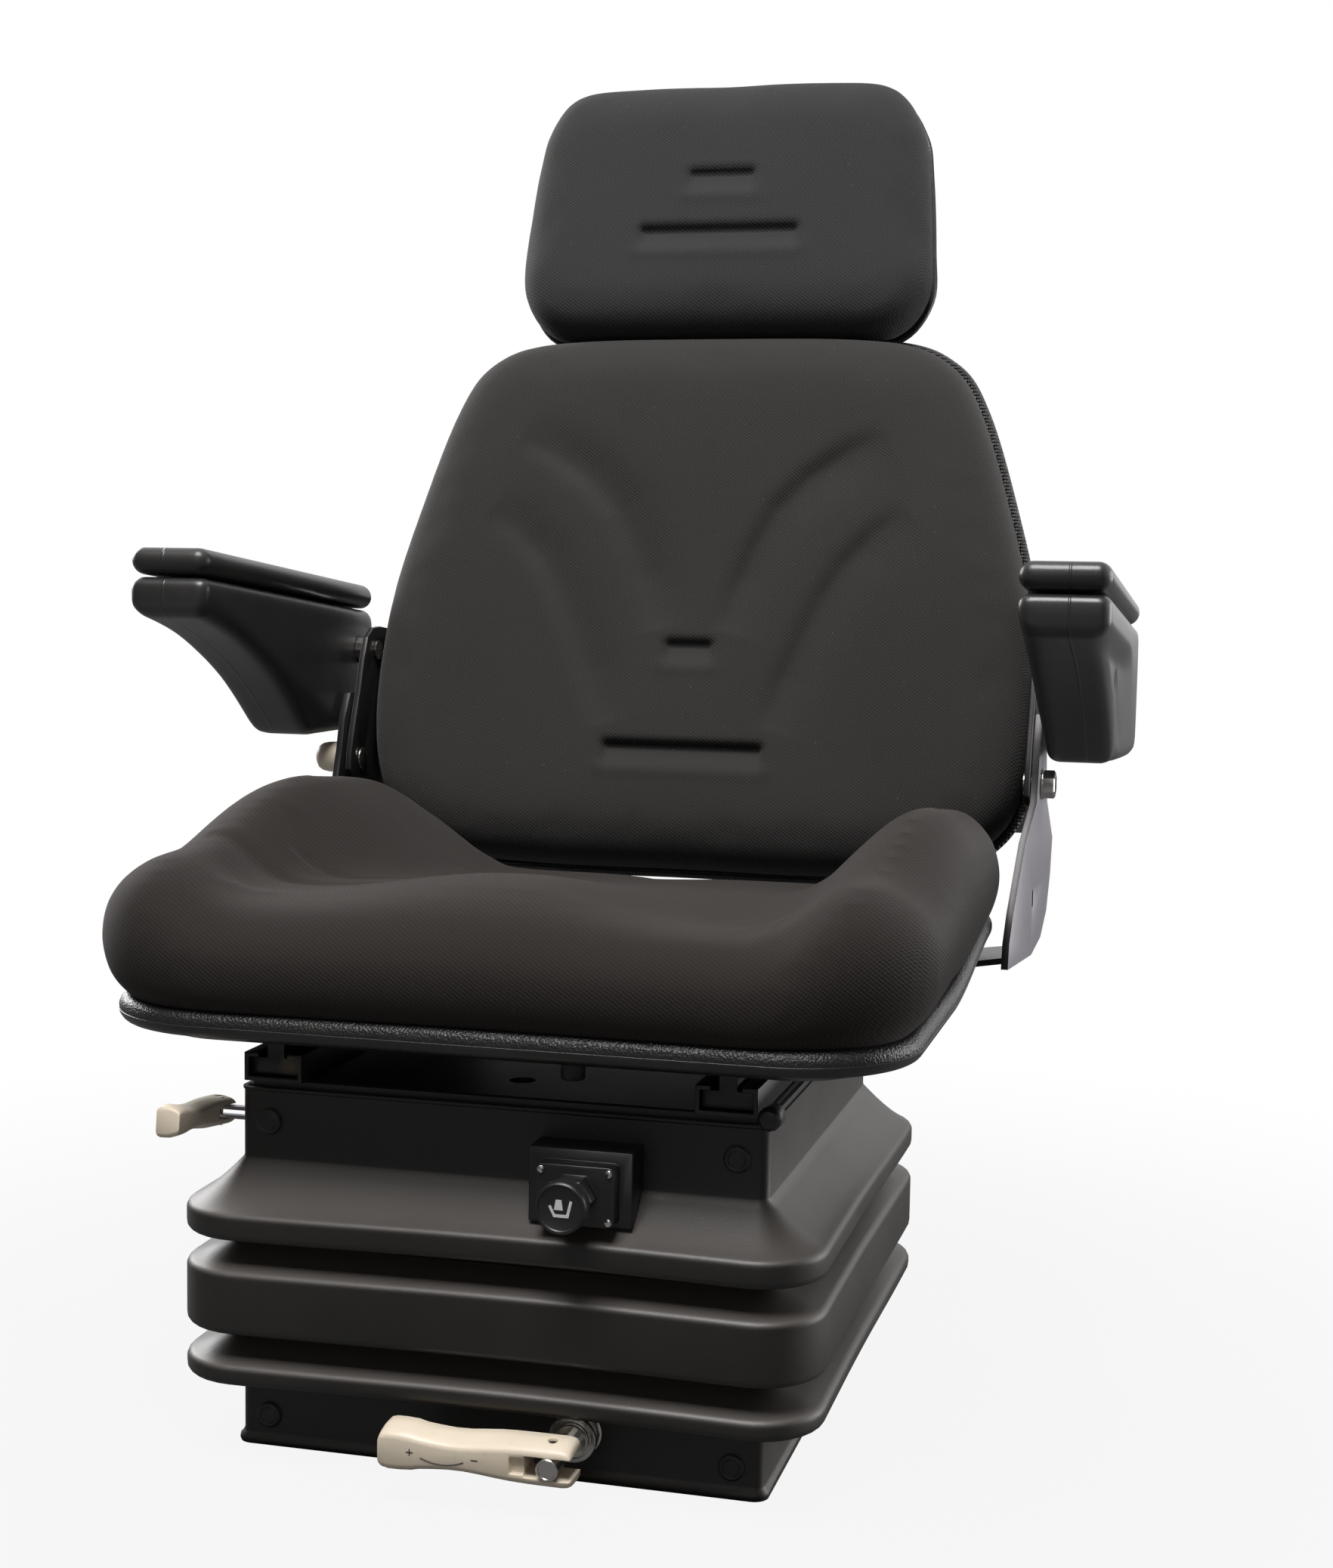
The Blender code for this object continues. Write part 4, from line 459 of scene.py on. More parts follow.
# Suspension under the gaiter: folded pans and channels, scissor arms and damper in satin black
# paint, shafts, pins and springs in bright steel, rollers in natural nylon.
def paint(name, color, roughness):
    """Satin paint on sheet steel, its sheen a little uneven."""
    made = material(name)
    mottle = made.noise(22.0, 5.0, 0.6)
    fine = made.noise(700.0, 2.0)
    pale = tuple(c * 1.7 for c in color)
    made.set(Base_Color=made.between(mottle.step(0.35, 0.8), color, pale),
             Roughness=roughness + mottle * 0.14,
             Normal=made.relief(fine + mottle * 3.0, 0.00006, 0.5))
    return made


def metal(name, color, roughness, streak=(1, 30, 30)):
    """Bare or plated steel with drawn streaks along X unless told otherwise."""
    made = material(name)
    lines = made.noise(60.0, 3.0, 0.6, streak)
    cloudy = made.noise(30.0, 3.0)
    made.set(Base_Color=made.between(cloudy, tuple(c * 0.82 for c in color), color), Metallic=1.0,
             Roughness=roughness + lines * 0.12,
             Normal=made.relief(lines, 0.00004, 0.4))
    return made


black_paint = paint("black paint", (0.0085, 0.0085, 0.0090), 0.30)
bright_steel = metal("bright steel", (0.66, 0.64, 0.61), 0.16)
nylon = paint("natural nylon", (0.62, 0.60, 0.53), 0.45)


def both(*names):
    """The left and the right node of each name."""
    return tuple(name + word for name in names for word in ("_left", "_right"))


BLACK_NODES = ("base_pan", "top_pan", "damper_tube", "spring_traveller", "spring_yoke", "headrest_posts",
               *both("base_channel", "upper_channel", "outer_arm", "inner_arm"))
BRIGHT_NODES = ("lower_pivot_shaft", "upper_pivot_shaft", "damper_rod", "upper_axle", "lower_axle",
                "weight_spindle", "weight_handle_pin", "lever_pin", "spindle_bush",
                *both("centre_pivot", "arm_pin"))
for names, surface in ((BLACK_NODES, black_paint), (BRIGHT_NODES, bright_steel),
                       (both("upper_roller", "lower_roller"), nylon)):
    for name in names:
        nodes[name].data.materials.clear()
        nodes[name].data.materials.append(surface.holder)


# Tension springs: bright wire wound open between the yoke on the lower axle and the traveller,
# with a straight tail at each end and a small head behind the traveller.
SPRING_X = (0.024, 0.072)
SPRING_HEIGHT = 0.048
SPRING_COIL = 0.0088
SPRING_WIRE = 0.0022
SPRING_TURNS = 9
SPRING_LEAD = 0.032
SPRING_TAIL = 0.0405
TURN_STEPS = 24


def wire_piece(name, points, radius, bevel_steps=2):
    """A round wire through points: a curve with a bevel, made a mesh."""
    line = bpy.data.curves.new(name, "CURVE")
    line.dimensions = "3D"
    line.bevel_depth = radius
    line.bevel_resolution = bevel_steps
    line.use_fill_caps = True
    spline = line.splines.new("POLY")
    spline.points.add(len(points) - 1)
    for spot, point in zip(spline.points, points):
        spot.co = (*point, 1.0)
    placed(name, line)
    bpy.ops.object.convert(target="MESH")
    return bpy.context.object


for x, word in zip(SPRING_X, ("left", "right")):
    low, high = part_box("tension_spring_" + word)
    front, rear = low.y, high.y
    first, last = front + SPRING_LEAD, rear - SPRING_TAIL
    steps = SPRING_TURNS * TURN_STEPS
    path = [(x, front, SPRING_HEIGHT), (x, first - 0.006, SPRING_HEIGHT)]
    for k in range(steps + 1):
        angle = 2 * math.pi * k / TURN_STEPS
        coil = SPRING_COIL * min(1.0, k / 10, (steps - k) / 10)
        path.append((x + coil * math.cos(angle), first + (last - first) * k / steps,
                     SPRING_HEIGHT + coil * math.sin(angle)))
    path += [(x, last + 0.006, SPRING_HEIGHT), (x, rear, SPRING_HEIGHT)]
    spring = wire_piece("wound_spring_" + word, path, SPRING_WIRE)
    head = turned("head", ((0.0044, -0.0042), (0.0044, -0.0006), (0.0036, 0.0)),
                  (x, rear, SPRING_HEIGHT), "Y", 24)
    spring = joined("wound_spring_" + word, [spring, head])
    dress(spring, bright_steel, ("base", "yoke_set", (x, last, SPRING_HEIGHT), (x, first, SPRING_HEIGHT)),
          "bright_steel", "tension_spring_" + word)


# Cream handles: one moulding in two sizes, a satin nylon grip with a narrower flat front, a
# swollen end and a forked end on a cross pin. The large one winds the springs, and the small
# one on the left sets the height.
HANDLE_LENGTH = 0.106
HANDLE_DEEP = 0.020
HANDLE_SETBACK = 0.012
WEIGHT_PLACE = (0.048, -0.195, 0.028)
LEVER_SCALE = 0.68
LEVER_TILT = math.radians(-7)
FORK_SLOT = ((-0.0135, -0.03, -0.0059), (0.03, 0.03, 0.0059))
FORK_RECESS = ((-0.0210, -0.03, -0.0048), (-0.0100, -0.0072, 0.0048))
# Along the grip, as (share of its length, share of its thickness).
HANDLE_STEPS = ((0.0, 0.72), (0.006, 0.84), (0.018, 0.95), (0.045, 1.0), (0.12, 1.0), (0.22, 1.0),
                (0.32, 1.0), (0.40, 1.0), (0.48, 1.0), (0.56, 1.0), (0.64, 1.0), (0.72, 1.0),
                (0.79, 1.0), (0.812, 1.03), (0.835, 1.065), (0.90, 1.07), (0.955, 1.05),
                (0.982, 0.98), (0.994, 0.88), (1.0, 0.72))


def swell(value, centre, width):
    """1 at the centre, fading away over the width."""
    return math.exp(-((value - centre) / width) ** 2)


def block(middle, sizes):
    """A box of these sizes round a middle."""
    bpy.ops.mesh.primitive_cube_add(size=1.0, location=middle)
    made = bpy.context.object
    made.scale = sizes
    bpy.ops.object.transform_apply(location=True, rotation=True, scale=True)
    return made


def handle(name, size, turn):
    """The grip, lofted from its fork to its end, then slotted, bored and rounded."""
    rings = []
    half = HANDLE_DEEP / 2
    for share, grow in HANDLE_STEPS:
        rear = 0.0125 - 0.0024 * swell(share, 0.62, 0.18)
        front = 0.0088 - 0.0028 * swell(share, 0.60, 0.22)
        upper = [(half, rear - 0.0022), (half - 0.0006, rear - 0.0008), (half - 0.0022, rear),
                 (0.0, rear - 0.0003), (0.004 - half, front + 0.0018), (0.0016 - half, front + 0.0006),
                 (0.0004 - half, front - 0.0006), (-half, front - 0.0022)]
        x = HANDLE_SETBACK - share * HANDLE_LENGTH
        ring = [(size * x, size * y, size * grow * z) for y, z in upper]
        rings.append(ring + [(x, y, -z) for x, y, z in reversed(ring)])
    piece = loft(name, rings)
    cutters = []
    for low, high in (FORK_SLOT, FORK_RECESS):
        slot = block([size * (a + b) / 2 for a, b in zip(low, high)],
                     [size * (b - a) for a, b in zip(low, high)])
        cutters.append(apply(slot, "BEVEL", width=0.0012 * size, segments=3, limit_method="ANGLE"))
    bpy.ops.mesh.primitive_cylinder_add(vertices=24, radius=0.0027, depth=0.05)
    cutters.append(bpy.context.object)
    for cutter in cutters:
        cut(piece, cutter)
    apply(piece, "BEVEL", width=0.0007 * size, segments=2, limit_method="ANGLE",
          angle_limit=math.radians(38))
    piece.data.transform(turn)
    return piece


cream = material("cream nylon")
yellowing = cream.noise(28.0, 4.0, 0.6)
orange_peel = cream.noise(420.0, 2.0)
grime = cream.noise(90.0, 5.0, 0.7).step(0.58, 0.80)
cream.set(Base_Color=cream.between(grime * 0.45 + yellowing * 0.30, (0.80, 0.695, 0.550),
                                   (0.46, 0.385, 0.290)),
          Roughness=0.34 + yellowing * 0.12, Subsurface_Weight=0.06,
          Subsurface_Radius=(0.004, 0.003, 0.002),
          Normal=cream.relief(orange_peel + yellowing * 4.0, 0.00007, 0.5))

weight_turn = Matrix.Translation(WEIGHT_PLACE)
lever_turn = (Matrix.Translation(LEVER_PLACE) @ Matrix.Rotation(LEVER_TILT, 4, "X")
              @ Matrix.Rotation(math.pi / 2, 4, "Z"))
dress(handle("weight_grip", 1.0, weight_turn), cream, "weight_handle_set", "cream_plastic",
      "weight_handle")
dress(handle("height_grip", LEVER_SCALE, lever_turn), cream, "lever_set", "cream_plastic",
      "height_lever")

# Print on the large handle: a plus, an arc and a minus, tampo printed in dark grey.
ink = material("dark ink")
ink.set(Base_Color=ink.between(ink.noise(500.0), (0.020, 0.018, 0.018), (0.075, 0.065, 0.060)),
        Roughness=0.6)
PRINT_FACE = WEIGHT_PLACE[1] - HANDLE_DEEP / 2 - 0.00005
PRINT_X = (-0.028, 0.008)
PRINT_HEIGHT = WEIGHT_PLACE[2] - 0.0005
PRINT_BARS = ((PRINT_X[0], 0.0012, 0.0038, 0.0006), (PRINT_X[0], 0.0012, 0.0006, 0.0038),
              (PRINT_X[1], 0.0008, 0.0036, 0.0006))
print_middle = (PRINT_X[0] + PRINT_X[1]) / 2
arc_line = [(print_middle + x, PRINT_FACE, z + PRINT_HEIGHT) for x, z in
            arc((0, 0.026), 0.0295, 246, 294, 24)]
marks = [block((x, PRINT_FACE, PRINT_HEIGHT + up), (wide, 0.0002, tall)) for x, up, wide, tall in PRINT_BARS]
marks.append(wire_piece("arc", arc_line, 0.00032, 1))
dress(joined("handle_print", marks), ink, "weight_handle_set", "black_plastic")

# Spindle end: a turned disc with a raised rim, and the washers on the bush behind the fork.
SPINDLE_END = (WEIGHT_PLACE[0], -0.2050, WEIGHT_PLACE[2])
SPINDLE_WALL = (WEIGHT_PLACE[0], -COLLAR_DEEP - 0.0004, WEIGHT_PLACE[2])
WASHER_STEPS = (((0.0132, 0.0), (0.0132, 0.0010), (0.0128, 0.0013), (0.0108, 0.0014)),
                ((0.0104, 0.0014), (0.0104, 0.0090), (0.0100, 0.0094), (0.0080, 0.0094)),
                ((0.0126, 0.0100), (0.0130, 0.0104), (0.0130, 0.0124), (0.0126, 0.0128),
                 (0.0106, 0.0128), (0.0104, 0.0122), (0.0062, 0.0122)),
                ((0.0092, 0.0130), (0.0092, 0.0158), (0.0088, 0.0162), (0.0062, 0.0162)))
dress(turned("spindle_end", ((0.0060, 0.0), (0.0060, 0.0012), (0.0056, 0.0016), (0.0048, 0.0016),
                             (0.0045, 0.0010), (0.0010, 0.0010)), SPINDLE_END, "-Y"),
      bright_steel, "spindle_set", "bright_steel")
washers = [turned("washer", steps, SPINDLE_WALL, "-Y") for steps in WASHER_STEPS]
dress(joined("spindle_washers", washers), bright_steel, "base", "bright_steel")


# Lever strap, rails, slide lever and control box: the frame's own solids, their edges rounded as
# pressed or moulded ones are.
def softened(node, width, segments=2):
    """A copy of a solid, its triangles merged into faces and its edges rounded."""
    piece = placed(node + "_finished", nodes[node].data.copy())
    bpy.ops.object.mode_set(mode="EDIT")
    bpy.ops.mesh.select_all(action="SELECT")
    bpy.ops.mesh.remove_doubles(threshold=0.00001)
    bpy.ops.mesh.dissolve_limited(angle_limit=math.radians(1.0))
    bpy.ops.object.mode_set(mode="OBJECT")
    return apply(piece, "BEVEL", width=width, segments=segments, limit_method="ANGLE",
                 angle_limit=math.radians(32), use_clamp_overlap=True)


def finished(node, width, finish, body, slot, segments=2):
    """One of the frame's own solids, softened and dressed."""
    return dress(softened(node, width, segments), finish, body, slot, node)


def spots_of(mesh):
    spots = np.zeros(len(mesh.vertices) * 3)
    mesh.vertices.foreach_get("co", spots)
    return spots.reshape(-1, 3)


def put_spots(mesh, spots):
    mesh.vertices.foreach_set("co", spots.ravel())
    mesh.update()


def reshape(piece, axis, shift):
    """Every vertex moved along one axis by a function of all their places."""
    spots = spots_of(piece.data)
    moved = spots.copy()
    moved[:, axis] += shift(spots)
    put_spots(piece.data, moved)
    return piece


zinc = metal("grey plated steel", (0.44, 0.42, 0.46), 0.30, (6, 6, 20))
zinc.set(Metallic=0.55)
bracket_steel = metal("bracket steel with painted inner shade", (0.44, 0.42, 0.46), 0.30, (6, 6, 20))
# Painted shade: faces turned in towards the seat get a near-black colour, and only faces turned outward show
# the plated grey.
outer_faces_unshaded = bracket_steel.facing("X") * bracket_steel.axis((1, 0, 0))
plated = bracket_steel.between(bracket_steel.noise(30.0, 3.0), (0.400, 0.380, 0.415), (0.480, 0.458, 0.500))
bracket_steel.set(Metallic=0.5, Base_Color=bracket_steel.between(outer_faces_unshaded.step(0.05, 0.15),
                                                                 (0.030, 0.028, 0.028), plated))
black_plastic = paint("black plastic", (0.0080, 0.0080, 0.0085), 0.30)
GREASE_PLACE = (-0.120, -0.155, 0.218)
greased = paint("greased black paint", (0.0085, 0.0085, 0.0090), 0.26)
near = greased.node("VectorMath", {"operation": "DISTANCE"}, {0: greased.place(), 1: GREASE_PLACE},
                    output="Value")
smear = 1.0 - (near + greased.noise(180.0, 4.0) * 0.006).step(0.004, 0.012)
greased.set(Base_Color=greased.between(smear, (0.0085, 0.0085, 0.0090), (0.115, 0.090, 0.025)))

for word, surface in (("left", greased), ("right", black_paint)):
    finished("lower_rail_" + word, 0.0005, surface, "upper_frame", "pan_paint")
    finished("upper_rail_" + word, 0.0005, surface, "seat_frame", "pan_paint")
finished("slide_lever", 0.0004, black_plastic, "slide_lever_set", "pan_paint")
finished("control_box", 0.0008, black_plastic, "upper_frame", "black_plastic")

# The strap's inner end stops short of the axle that passes it.
STRAP_END = -0.1278
strap = softened("lever_strap", 0.0003)
reshape(strap, 0, lambda spots: np.minimum(spots[:, 0], STRAP_END) - spots[:, 0])
dress(strap, zinc, "lever_set", "bracket_steel", "lever_strap")

# Height knob: a black push-pull knob, 28 mm across, with a rolled rim and a printed seat symbol.
KNOB_PLACE = (0.0535, -0.207, 0.167)
KNOB_STEPS = ((0.0062, -0.030), (0.0062, -0.0112), (0.0112, -0.0110), (0.0128, -0.0104),
              (0.0138, -0.0090), (0.0140, -0.0070), (0.0140, -0.0024), (0.0136, -0.0008),
              (0.0128, -0.0002), (0.0120, -0.0003), (0.0116, -0.0010), (0.0113, -0.0012),
              (0.0010, -0.0012))
dress(turned("height_knob_turned", KNOB_STEPS, KNOB_PLACE, "-Y", 64), black_plastic, "knob_set",
      "black_plastic", "height_knob")
white_ink = material("white ink")
white_ink.set(Base_Color=white_ink.between(white_ink.noise(300.0), (0.55,) * 3, (0.75,) * 3), Roughness=0.5)
SYMBOLS = (("knob_symbol_seat", ((-0.0062, 0.0010), (-0.0034, -0.0046), (0.0046, -0.0046), (0.0066, 0.0040),
                                 (0.0052, 0.0044), (0.0034, -0.0030), (-0.0026, -0.0030),
                                 (-0.0050, 0.0016))),
           ("knob_symbol_arrow", ((-0.0032, -0.0008), (0.0016, -0.0008), (0.0008, 0.0046),
                                  (-0.0022, 0.0046))))
knob_face = KNOB_PLACE[1] + 0.0012
for name, outline in SYMBOLS:
    rings = [[(KNOB_PLACE[0] + x, y, KNOB_PLACE[2] + z) for x, z in outline]
             for y in (knob_face + 0.0002, knob_face - 0.00015)]
    dress(loft(name, rings), white_ink, "knob_set", "cream_plastic")

# Control box screws: four small plated pan heads at the corners of its front.
screws = [turned("screw", ((0.0019, 0.0), (0.0019, 0.0008), (0.0013, 0.0013), (0.0005, 0.0014)),
                 (KNOB_PLACE[0] + sx * 0.0185, -0.1800, KNOB_PLACE[2] + sz * 0.0130), "-Y", 20)
          for sx in (-1, 1) for sz in (-1, 1)]
dress(joined("control_box_screws", screws), bright_steel, "upper_frame", "bright_steel")

# Rubber bumper: a short buffer under the pan's middle that stops the pan on the top plate.
dress(turned("pan_bumper", ((0.0058, 0.0), (0.0066, 0.0010), (0.0066, 0.0090), (0.0060, 0.0135)),
             (0.040, -0.140, 0.2195), "Z", 32), rubber, "seat_frame", "gaiter_rubber")


# Seat pan: a moulded plastic pan whose edge is trimmed with a grained vinyl bead.
PAN_WIDE = 0.227
PAN_FRONT = -0.196
PAN_REAR = 0.235
PAN_CORNER = 0.070
RIM_HEIGHT = 0.2465
RIM_RADIUS = 0.0075
RIM_SIDE_RISE = 0.020
PAN_LOW = 0.2326


def ease(value, start, end):
    """0 before start, 1 after end, smooth between them."""
    share = min(max((value - start) / (end - start), 0.0), 1.0)
    return share * share * (3 - 2 * share)


def side_rise(x, y):
    """How far the pan's rim climbs at its rear sides."""
    return RIM_SIDE_RISE * ease(y, 0.0, PAN_REAR - 0.05) * ease(abs(x), 0.10, PAN_WIDE - 0.02)


def pan_ring(reach, height, rising):
    """The pan's plan outline moved out by the reach, at a height that follows the rim."""
    middle = (PAN_FRONT + PAN_REAR) / 2
    line = rounded(PAN_WIDE + reach, (PAN_REAR - PAN_FRONT) / 2 + reach, PAN_CORNER + reach, 14, 20,
                   (0, middle))
    return [(x, y, height + rising * side_rise(x, y)) for x, y in line]


PAN_STEPS = [(-0.058, PAN_LOW, 0), (-0.032, PAN_LOW, 0), (-0.028, PAN_LOW + 0.0006, 0.2),
             (-0.018, RIM_HEIGHT - 0.0078, 0.9)]
PAN_STEPS += [(*spot, 1) for spot in arc((-RIM_RADIUS, RIM_HEIGHT), RIM_RADIUS, -90, -6, 7)]
PAN_STEPS += [(-0.0012, RIM_HEIGHT + 0.0002, 1), (-0.0060, RIM_HEIGHT - 0.0045, 1),
              (-0.0160, RIM_HEIGHT - 0.0042, 1), (-0.030, PAN_LOW + 0.0042, 0.2),
              (-0.034, PAN_LOW + 0.003, 0), (-0.058, PAN_LOW + 0.003, 0)]
pan_plastic = paint("pan plastic", (0.020, 0.018, 0.018), 0.30)
dress(loft("pan_shell", [pan_ring(*step) for step in PAN_STEPS]), pan_plastic, "seat_frame", "pan_vinyl",
      "seat_pan")

BEAD_MIDDLE = (-RIM_RADIUS + 0.0006, RIM_HEIGHT + 0.0008)
bead_rings = [pan_ring(*spot, 1) for spot in arc(BEAD_MIDDLE, 0.0068, 0, 345, 23)]
vinyl = material("grained vinyl")
pebble = vinyl.node("TexVoronoi", {"feature": "SMOOTH_F1"}, {"Vector": vinyl.place(), "Scale": 720.0,
                                                             "Smoothness": 0.35})
patch = vinyl.noise(40.0, 4.0)
vinyl.set(Base_Color=vinyl.between(patch, (0.0110, 0.0105, 0.0105), (0.022, 0.021, 0.020)),
          Roughness=0.34 + patch * 0.12, Normal=vinyl.relief(1.0 - pebble, 0.00040, 1.0))
dress(loft("pan_bead", bead_rings, closed=True), vinyl, "seat_frame", "pan_vinyl")


# Seat cushion: moulded foam under a stretched woven cover, with a roll at the front, high side
# bolsters that end in the pan and a notch in its rear edge.
CUSHION_REAR = 0.190
CUSHION_CORNER = 0.066
COVER_VOXEL = 0.0045
LEAN = math.radians(12.1)
BACK_FOOT = (0.225, 0.285)
FOOT_ALONG = BACK_FOOT[0] * math.sin(LEAN) + BACK_FOOT[1] * math.cos(LEAN)
FOOT_BEHIND = BACK_FOOT[0] * math.cos(LEAN) - BACK_FOOT[1] * math.sin(LEAN)
FACE_LIMIT = (FOOT_BEHIND + 0.020, FOOT_BEHIND + 0.026)


def bar_line(made, half, centre):
    """1 on a pressed bar's sharp upper edge and 0 off it: a line across X, seen from the front."""
    past_end = made.axis((1, 0, 0)).size() - half
    beside = past_end.sum("MAXIMUM", past_end, 0.0)
    above = made.axis((0, math.sin(LEAN), math.cos(LEAN))) - centre
    away = (beside * beside + above * above) ** 0.5
    front = 1.0 - made.axis((0, math.cos(LEAN), -math.sin(LEAN))).step(*FACE_LIMIT)
    return (1.0 - away.step(0.0006, 0.0038)) * front


def woven(name, dark, light, bars=()):
    """Woven upholstery: a fine diagonal rib over a tight ground, with a soft sheen."""
    made = material(name)
    along = made.axis((0.72, 0.35, 1.0))
    across = made.axis((1.0, -0.55, -0.62))
    thread = (along * 2600.0).sine() * 0.5 + (across * 3900.0).sine() * 0.35
    fuzz = made.noise(1500.0, 2.0)
    worn = made.noise(7.0, 5.0, 0.6)
    flecks = made.noise(420.0, 1.0).step(0.74, 0.80)
    ground = made.between(worn, dark, light)
    bar_shade_and_dent = 0.0
    for half, centre in bars:
        bar_shade_and_dent = bar_line(made, half, centre) + bar_shade_and_dent
    # Painted shade: along each bar's upper edge the cloth's colour is darkened towards 0.35 of its dark tone,
    # as the crease's shadow; the same line also dents the bump.
    if bars:
        ground = made.between(bar_shade_and_dent, ground, tuple(c * 0.35 for c in dark))
    made.set(Base_Color=made.between(flecks * 0.5 + (thread + 0.85).step(0.0, 1.8) * 0.30, ground,
                                     tuple(c * 2.2 for c in light)),
             Roughness=0.86 + fuzz * 0.10, Sheen_Weight=0.10, Sheen_Roughness=0.45,
             Sheen_Tint=(0.80, 0.76, 0.74), Specular_IOR_Level=0.25,
             Normal=made.relief(thread + fuzz * 1.4 - bar_shade_and_dent * 6.0, 0.00016, 0.8))
    return made


fabric = woven("seat cloth", (0.0122, 0.0097, 0.0086), (0.0196, 0.0158, 0.0140))


def crown(x, y):
    """Height of the cushion's face: it falls to the rear from a roll that dips on its right, rises
    to a bolster at each side and has a notch in its rear edge.
    """
    aside = abs(x - 0.017 * ease(y, -0.14, 0.10))
    base = 0.3100 - 0.0220 * ease(y, -0.13, 0.19)
    dip = 0.0085 * ease(x, 0.0, 0.09) * (1 - ease(x, 0.13, 0.185)) * math.exp(-((y + 0.115) / 0.065) ** 2)
    roll = 0.0125 * (1 - ease(aside, 0.01, 0.125)) * math.exp(-((y + 0.118) / 0.072) ** 2)
    tall = 0.0245 + 0.038 * ease(y, -0.13, 0.03) - 0.022 * ease(y, 0.10, 0.20)
    foot = 0.148 - 0.040 * ease(y, -0.12, 0.06)
    bolster = (tall + 0.004 * ease(x, 0.10, 0.20)) * ease(aside, foot, 0.198)
    notch = 0.013 * math.exp(-aside / 0.010) * ease(y, 0.12, CUSHION_REAR)
    return base + roll + bolster - notch - dip


def cushion_ring(scale, reach, share):
    """A ring of the cushion's cover at a share of the way from the pan's rim to its face."""
    half = (CUSHION_REAR - PAN_FRONT) / 2
    middle = (CUSHION_REAR + PAN_FRONT) / 2
    ring = []
    for x, y in rounded((PAN_WIDE + reach) * scale, (half + reach) * scale,
                        (CUSHION_CORNER + reach) * scale, 12, 16, (0, middle)):
        bottom = RIM_HEIGHT + 0.001 + side_rise(x, y)
        tall = crown(x, y) - bottom if share >= 0 else 0.06
        ring.append((x, y, bottom + tall * share))
    return ring


CUSHION_FLANK = ((0.80, 0.0, -0.22), (0.84, 0.0, -0.24), (0.90, 0.0, -0.14), (1.0, -0.0165, -0.02),
                 (1.0, -0.0100, 0.05), (1.0, -0.0030, 0.12), (1.0, 0.0030, 0.21), (1.0, 0.0065, 0.33),
                 (1.0, 0.0080, 0.46), (1.0, 0.0068, 0.60), (1.0, 0.0025, 0.73), (1.0, -0.0055, 0.84),
                 (1.0, -0.0165, 0.92), (1.0, -0.0290, 0.970), (1.0, -0.0430, 0.993))
CUSHION_TOP = tuple((scale, 0.0, 1.0) for scale in (0.75, 0.66, 0.57, 0.48, 0.38, 0.28, 0.18, 0.08))
CLOTH = {"quality": 4, "mass": 0.25, "tension_stiffness": 18, "compression_stiffness": 12,
         "bending_stiffness": 1.5, "use_pressure": True, "uniform_pressure_force": 3.0}
CLOTH_FRAMES = 18


def stuffed(piece, cap, held):
    """The cover is remeshed, blown up by its filling as cloth, held where it is clamped, smoothed."""
    apply(piece, "REMESH", mode="VOXEL", voxel_size=COVER_VOXEL)
    apply(piece, "SMOOTH", factor=0.5, iterations=3)
    rest = spots_of(piece.data)
    pick(piece)
    cloth = piece.modifiers.new("Cloth", "CLOTH")
    for name, value in CLOTH.items():
        setattr(cloth.settings, name, value)
    cloth.settings.effector_weights.gravity = 0.0
    for number in range(1, CLOTH_FRAMES + 1):
        bpy.context.scene.frame_set(number)
    shaped = piece.evaluated_get(bpy.context.evaluated_depsgraph_get()).to_mesh()
    push = spots_of(shaped) - rest
    piece.modifiers.remove(cloth)
    bpy.context.scene.frame_set(1)
    length = np.linalg.norm(push, axis=1, keepdims=True)
    push *= np.minimum(1.0, cap / np.maximum(length, 1e-9)) * held(rest)[:, None]
    put_spots(piece.data, rest + push)
    apply(piece, "SMOOTH", factor=0.5, iterations=10)
    return apply(piece, "SUBSURF", levels=1, render_levels=1)


def from_line(spots, line):
    """For flat points: the distance to a line, and on which side of it they lie."""
    best = np.full(len(spots), 1e9)
    side = np.zeros(len(spots))
    run = np.zeros(len(spots))
    total = sum(math.dist(a, b) for a, b in zip(line, line[1:]))
    done = 0.0
    for a, b in zip(line, line[1:]):
        a, b = np.array(a), np.array(b)
        along = b - a
        share = np.clip(((spots - a) @ along) / (along @ along), 0, 1)
        near = a + share[:, None] * along
        gap = np.linalg.norm(spots - near, axis=1)
        cross = along[0] * (spots[:, 1] - a[1]) - along[1] * (spots[:, 0] - a[0])
        closer = gap < best
        best = np.where(closer, gap, best)
        side = np.where(closer, np.sign(cross), side)
        run = np.where(closer, (done + share * np.linalg.norm(along)) / total, run)
        done += np.linalg.norm(along)
    return best, side, run


def crease(spots, line, left, right, fade, power):
    """A pressed line, of one width on its left side and one on its right, fading out at its ends."""
    gap, side, run = from_line(spots, line)
    wide = np.where(side > 0, left, right)
    ends = np.clip(np.minimum(run, 1 - run) / fade, 0, 1)
    return np.exp(-(gap / wide) ** 2) * ends ** power


# Soft wrinkles at the cushion's front left, where the cover is drawn in over the roll.
WRINKLES = ((((-0.198, -0.088), (-0.160, -0.092), (-0.123, -0.094), (-0.066, -0.090)), 0.0022, 0.006, 0.012),
            (((-0.172, -0.030), (-0.158, -0.054), (-0.130, -0.056), (-0.088, -0.040)), 0.0024, 0.010, 0.005))


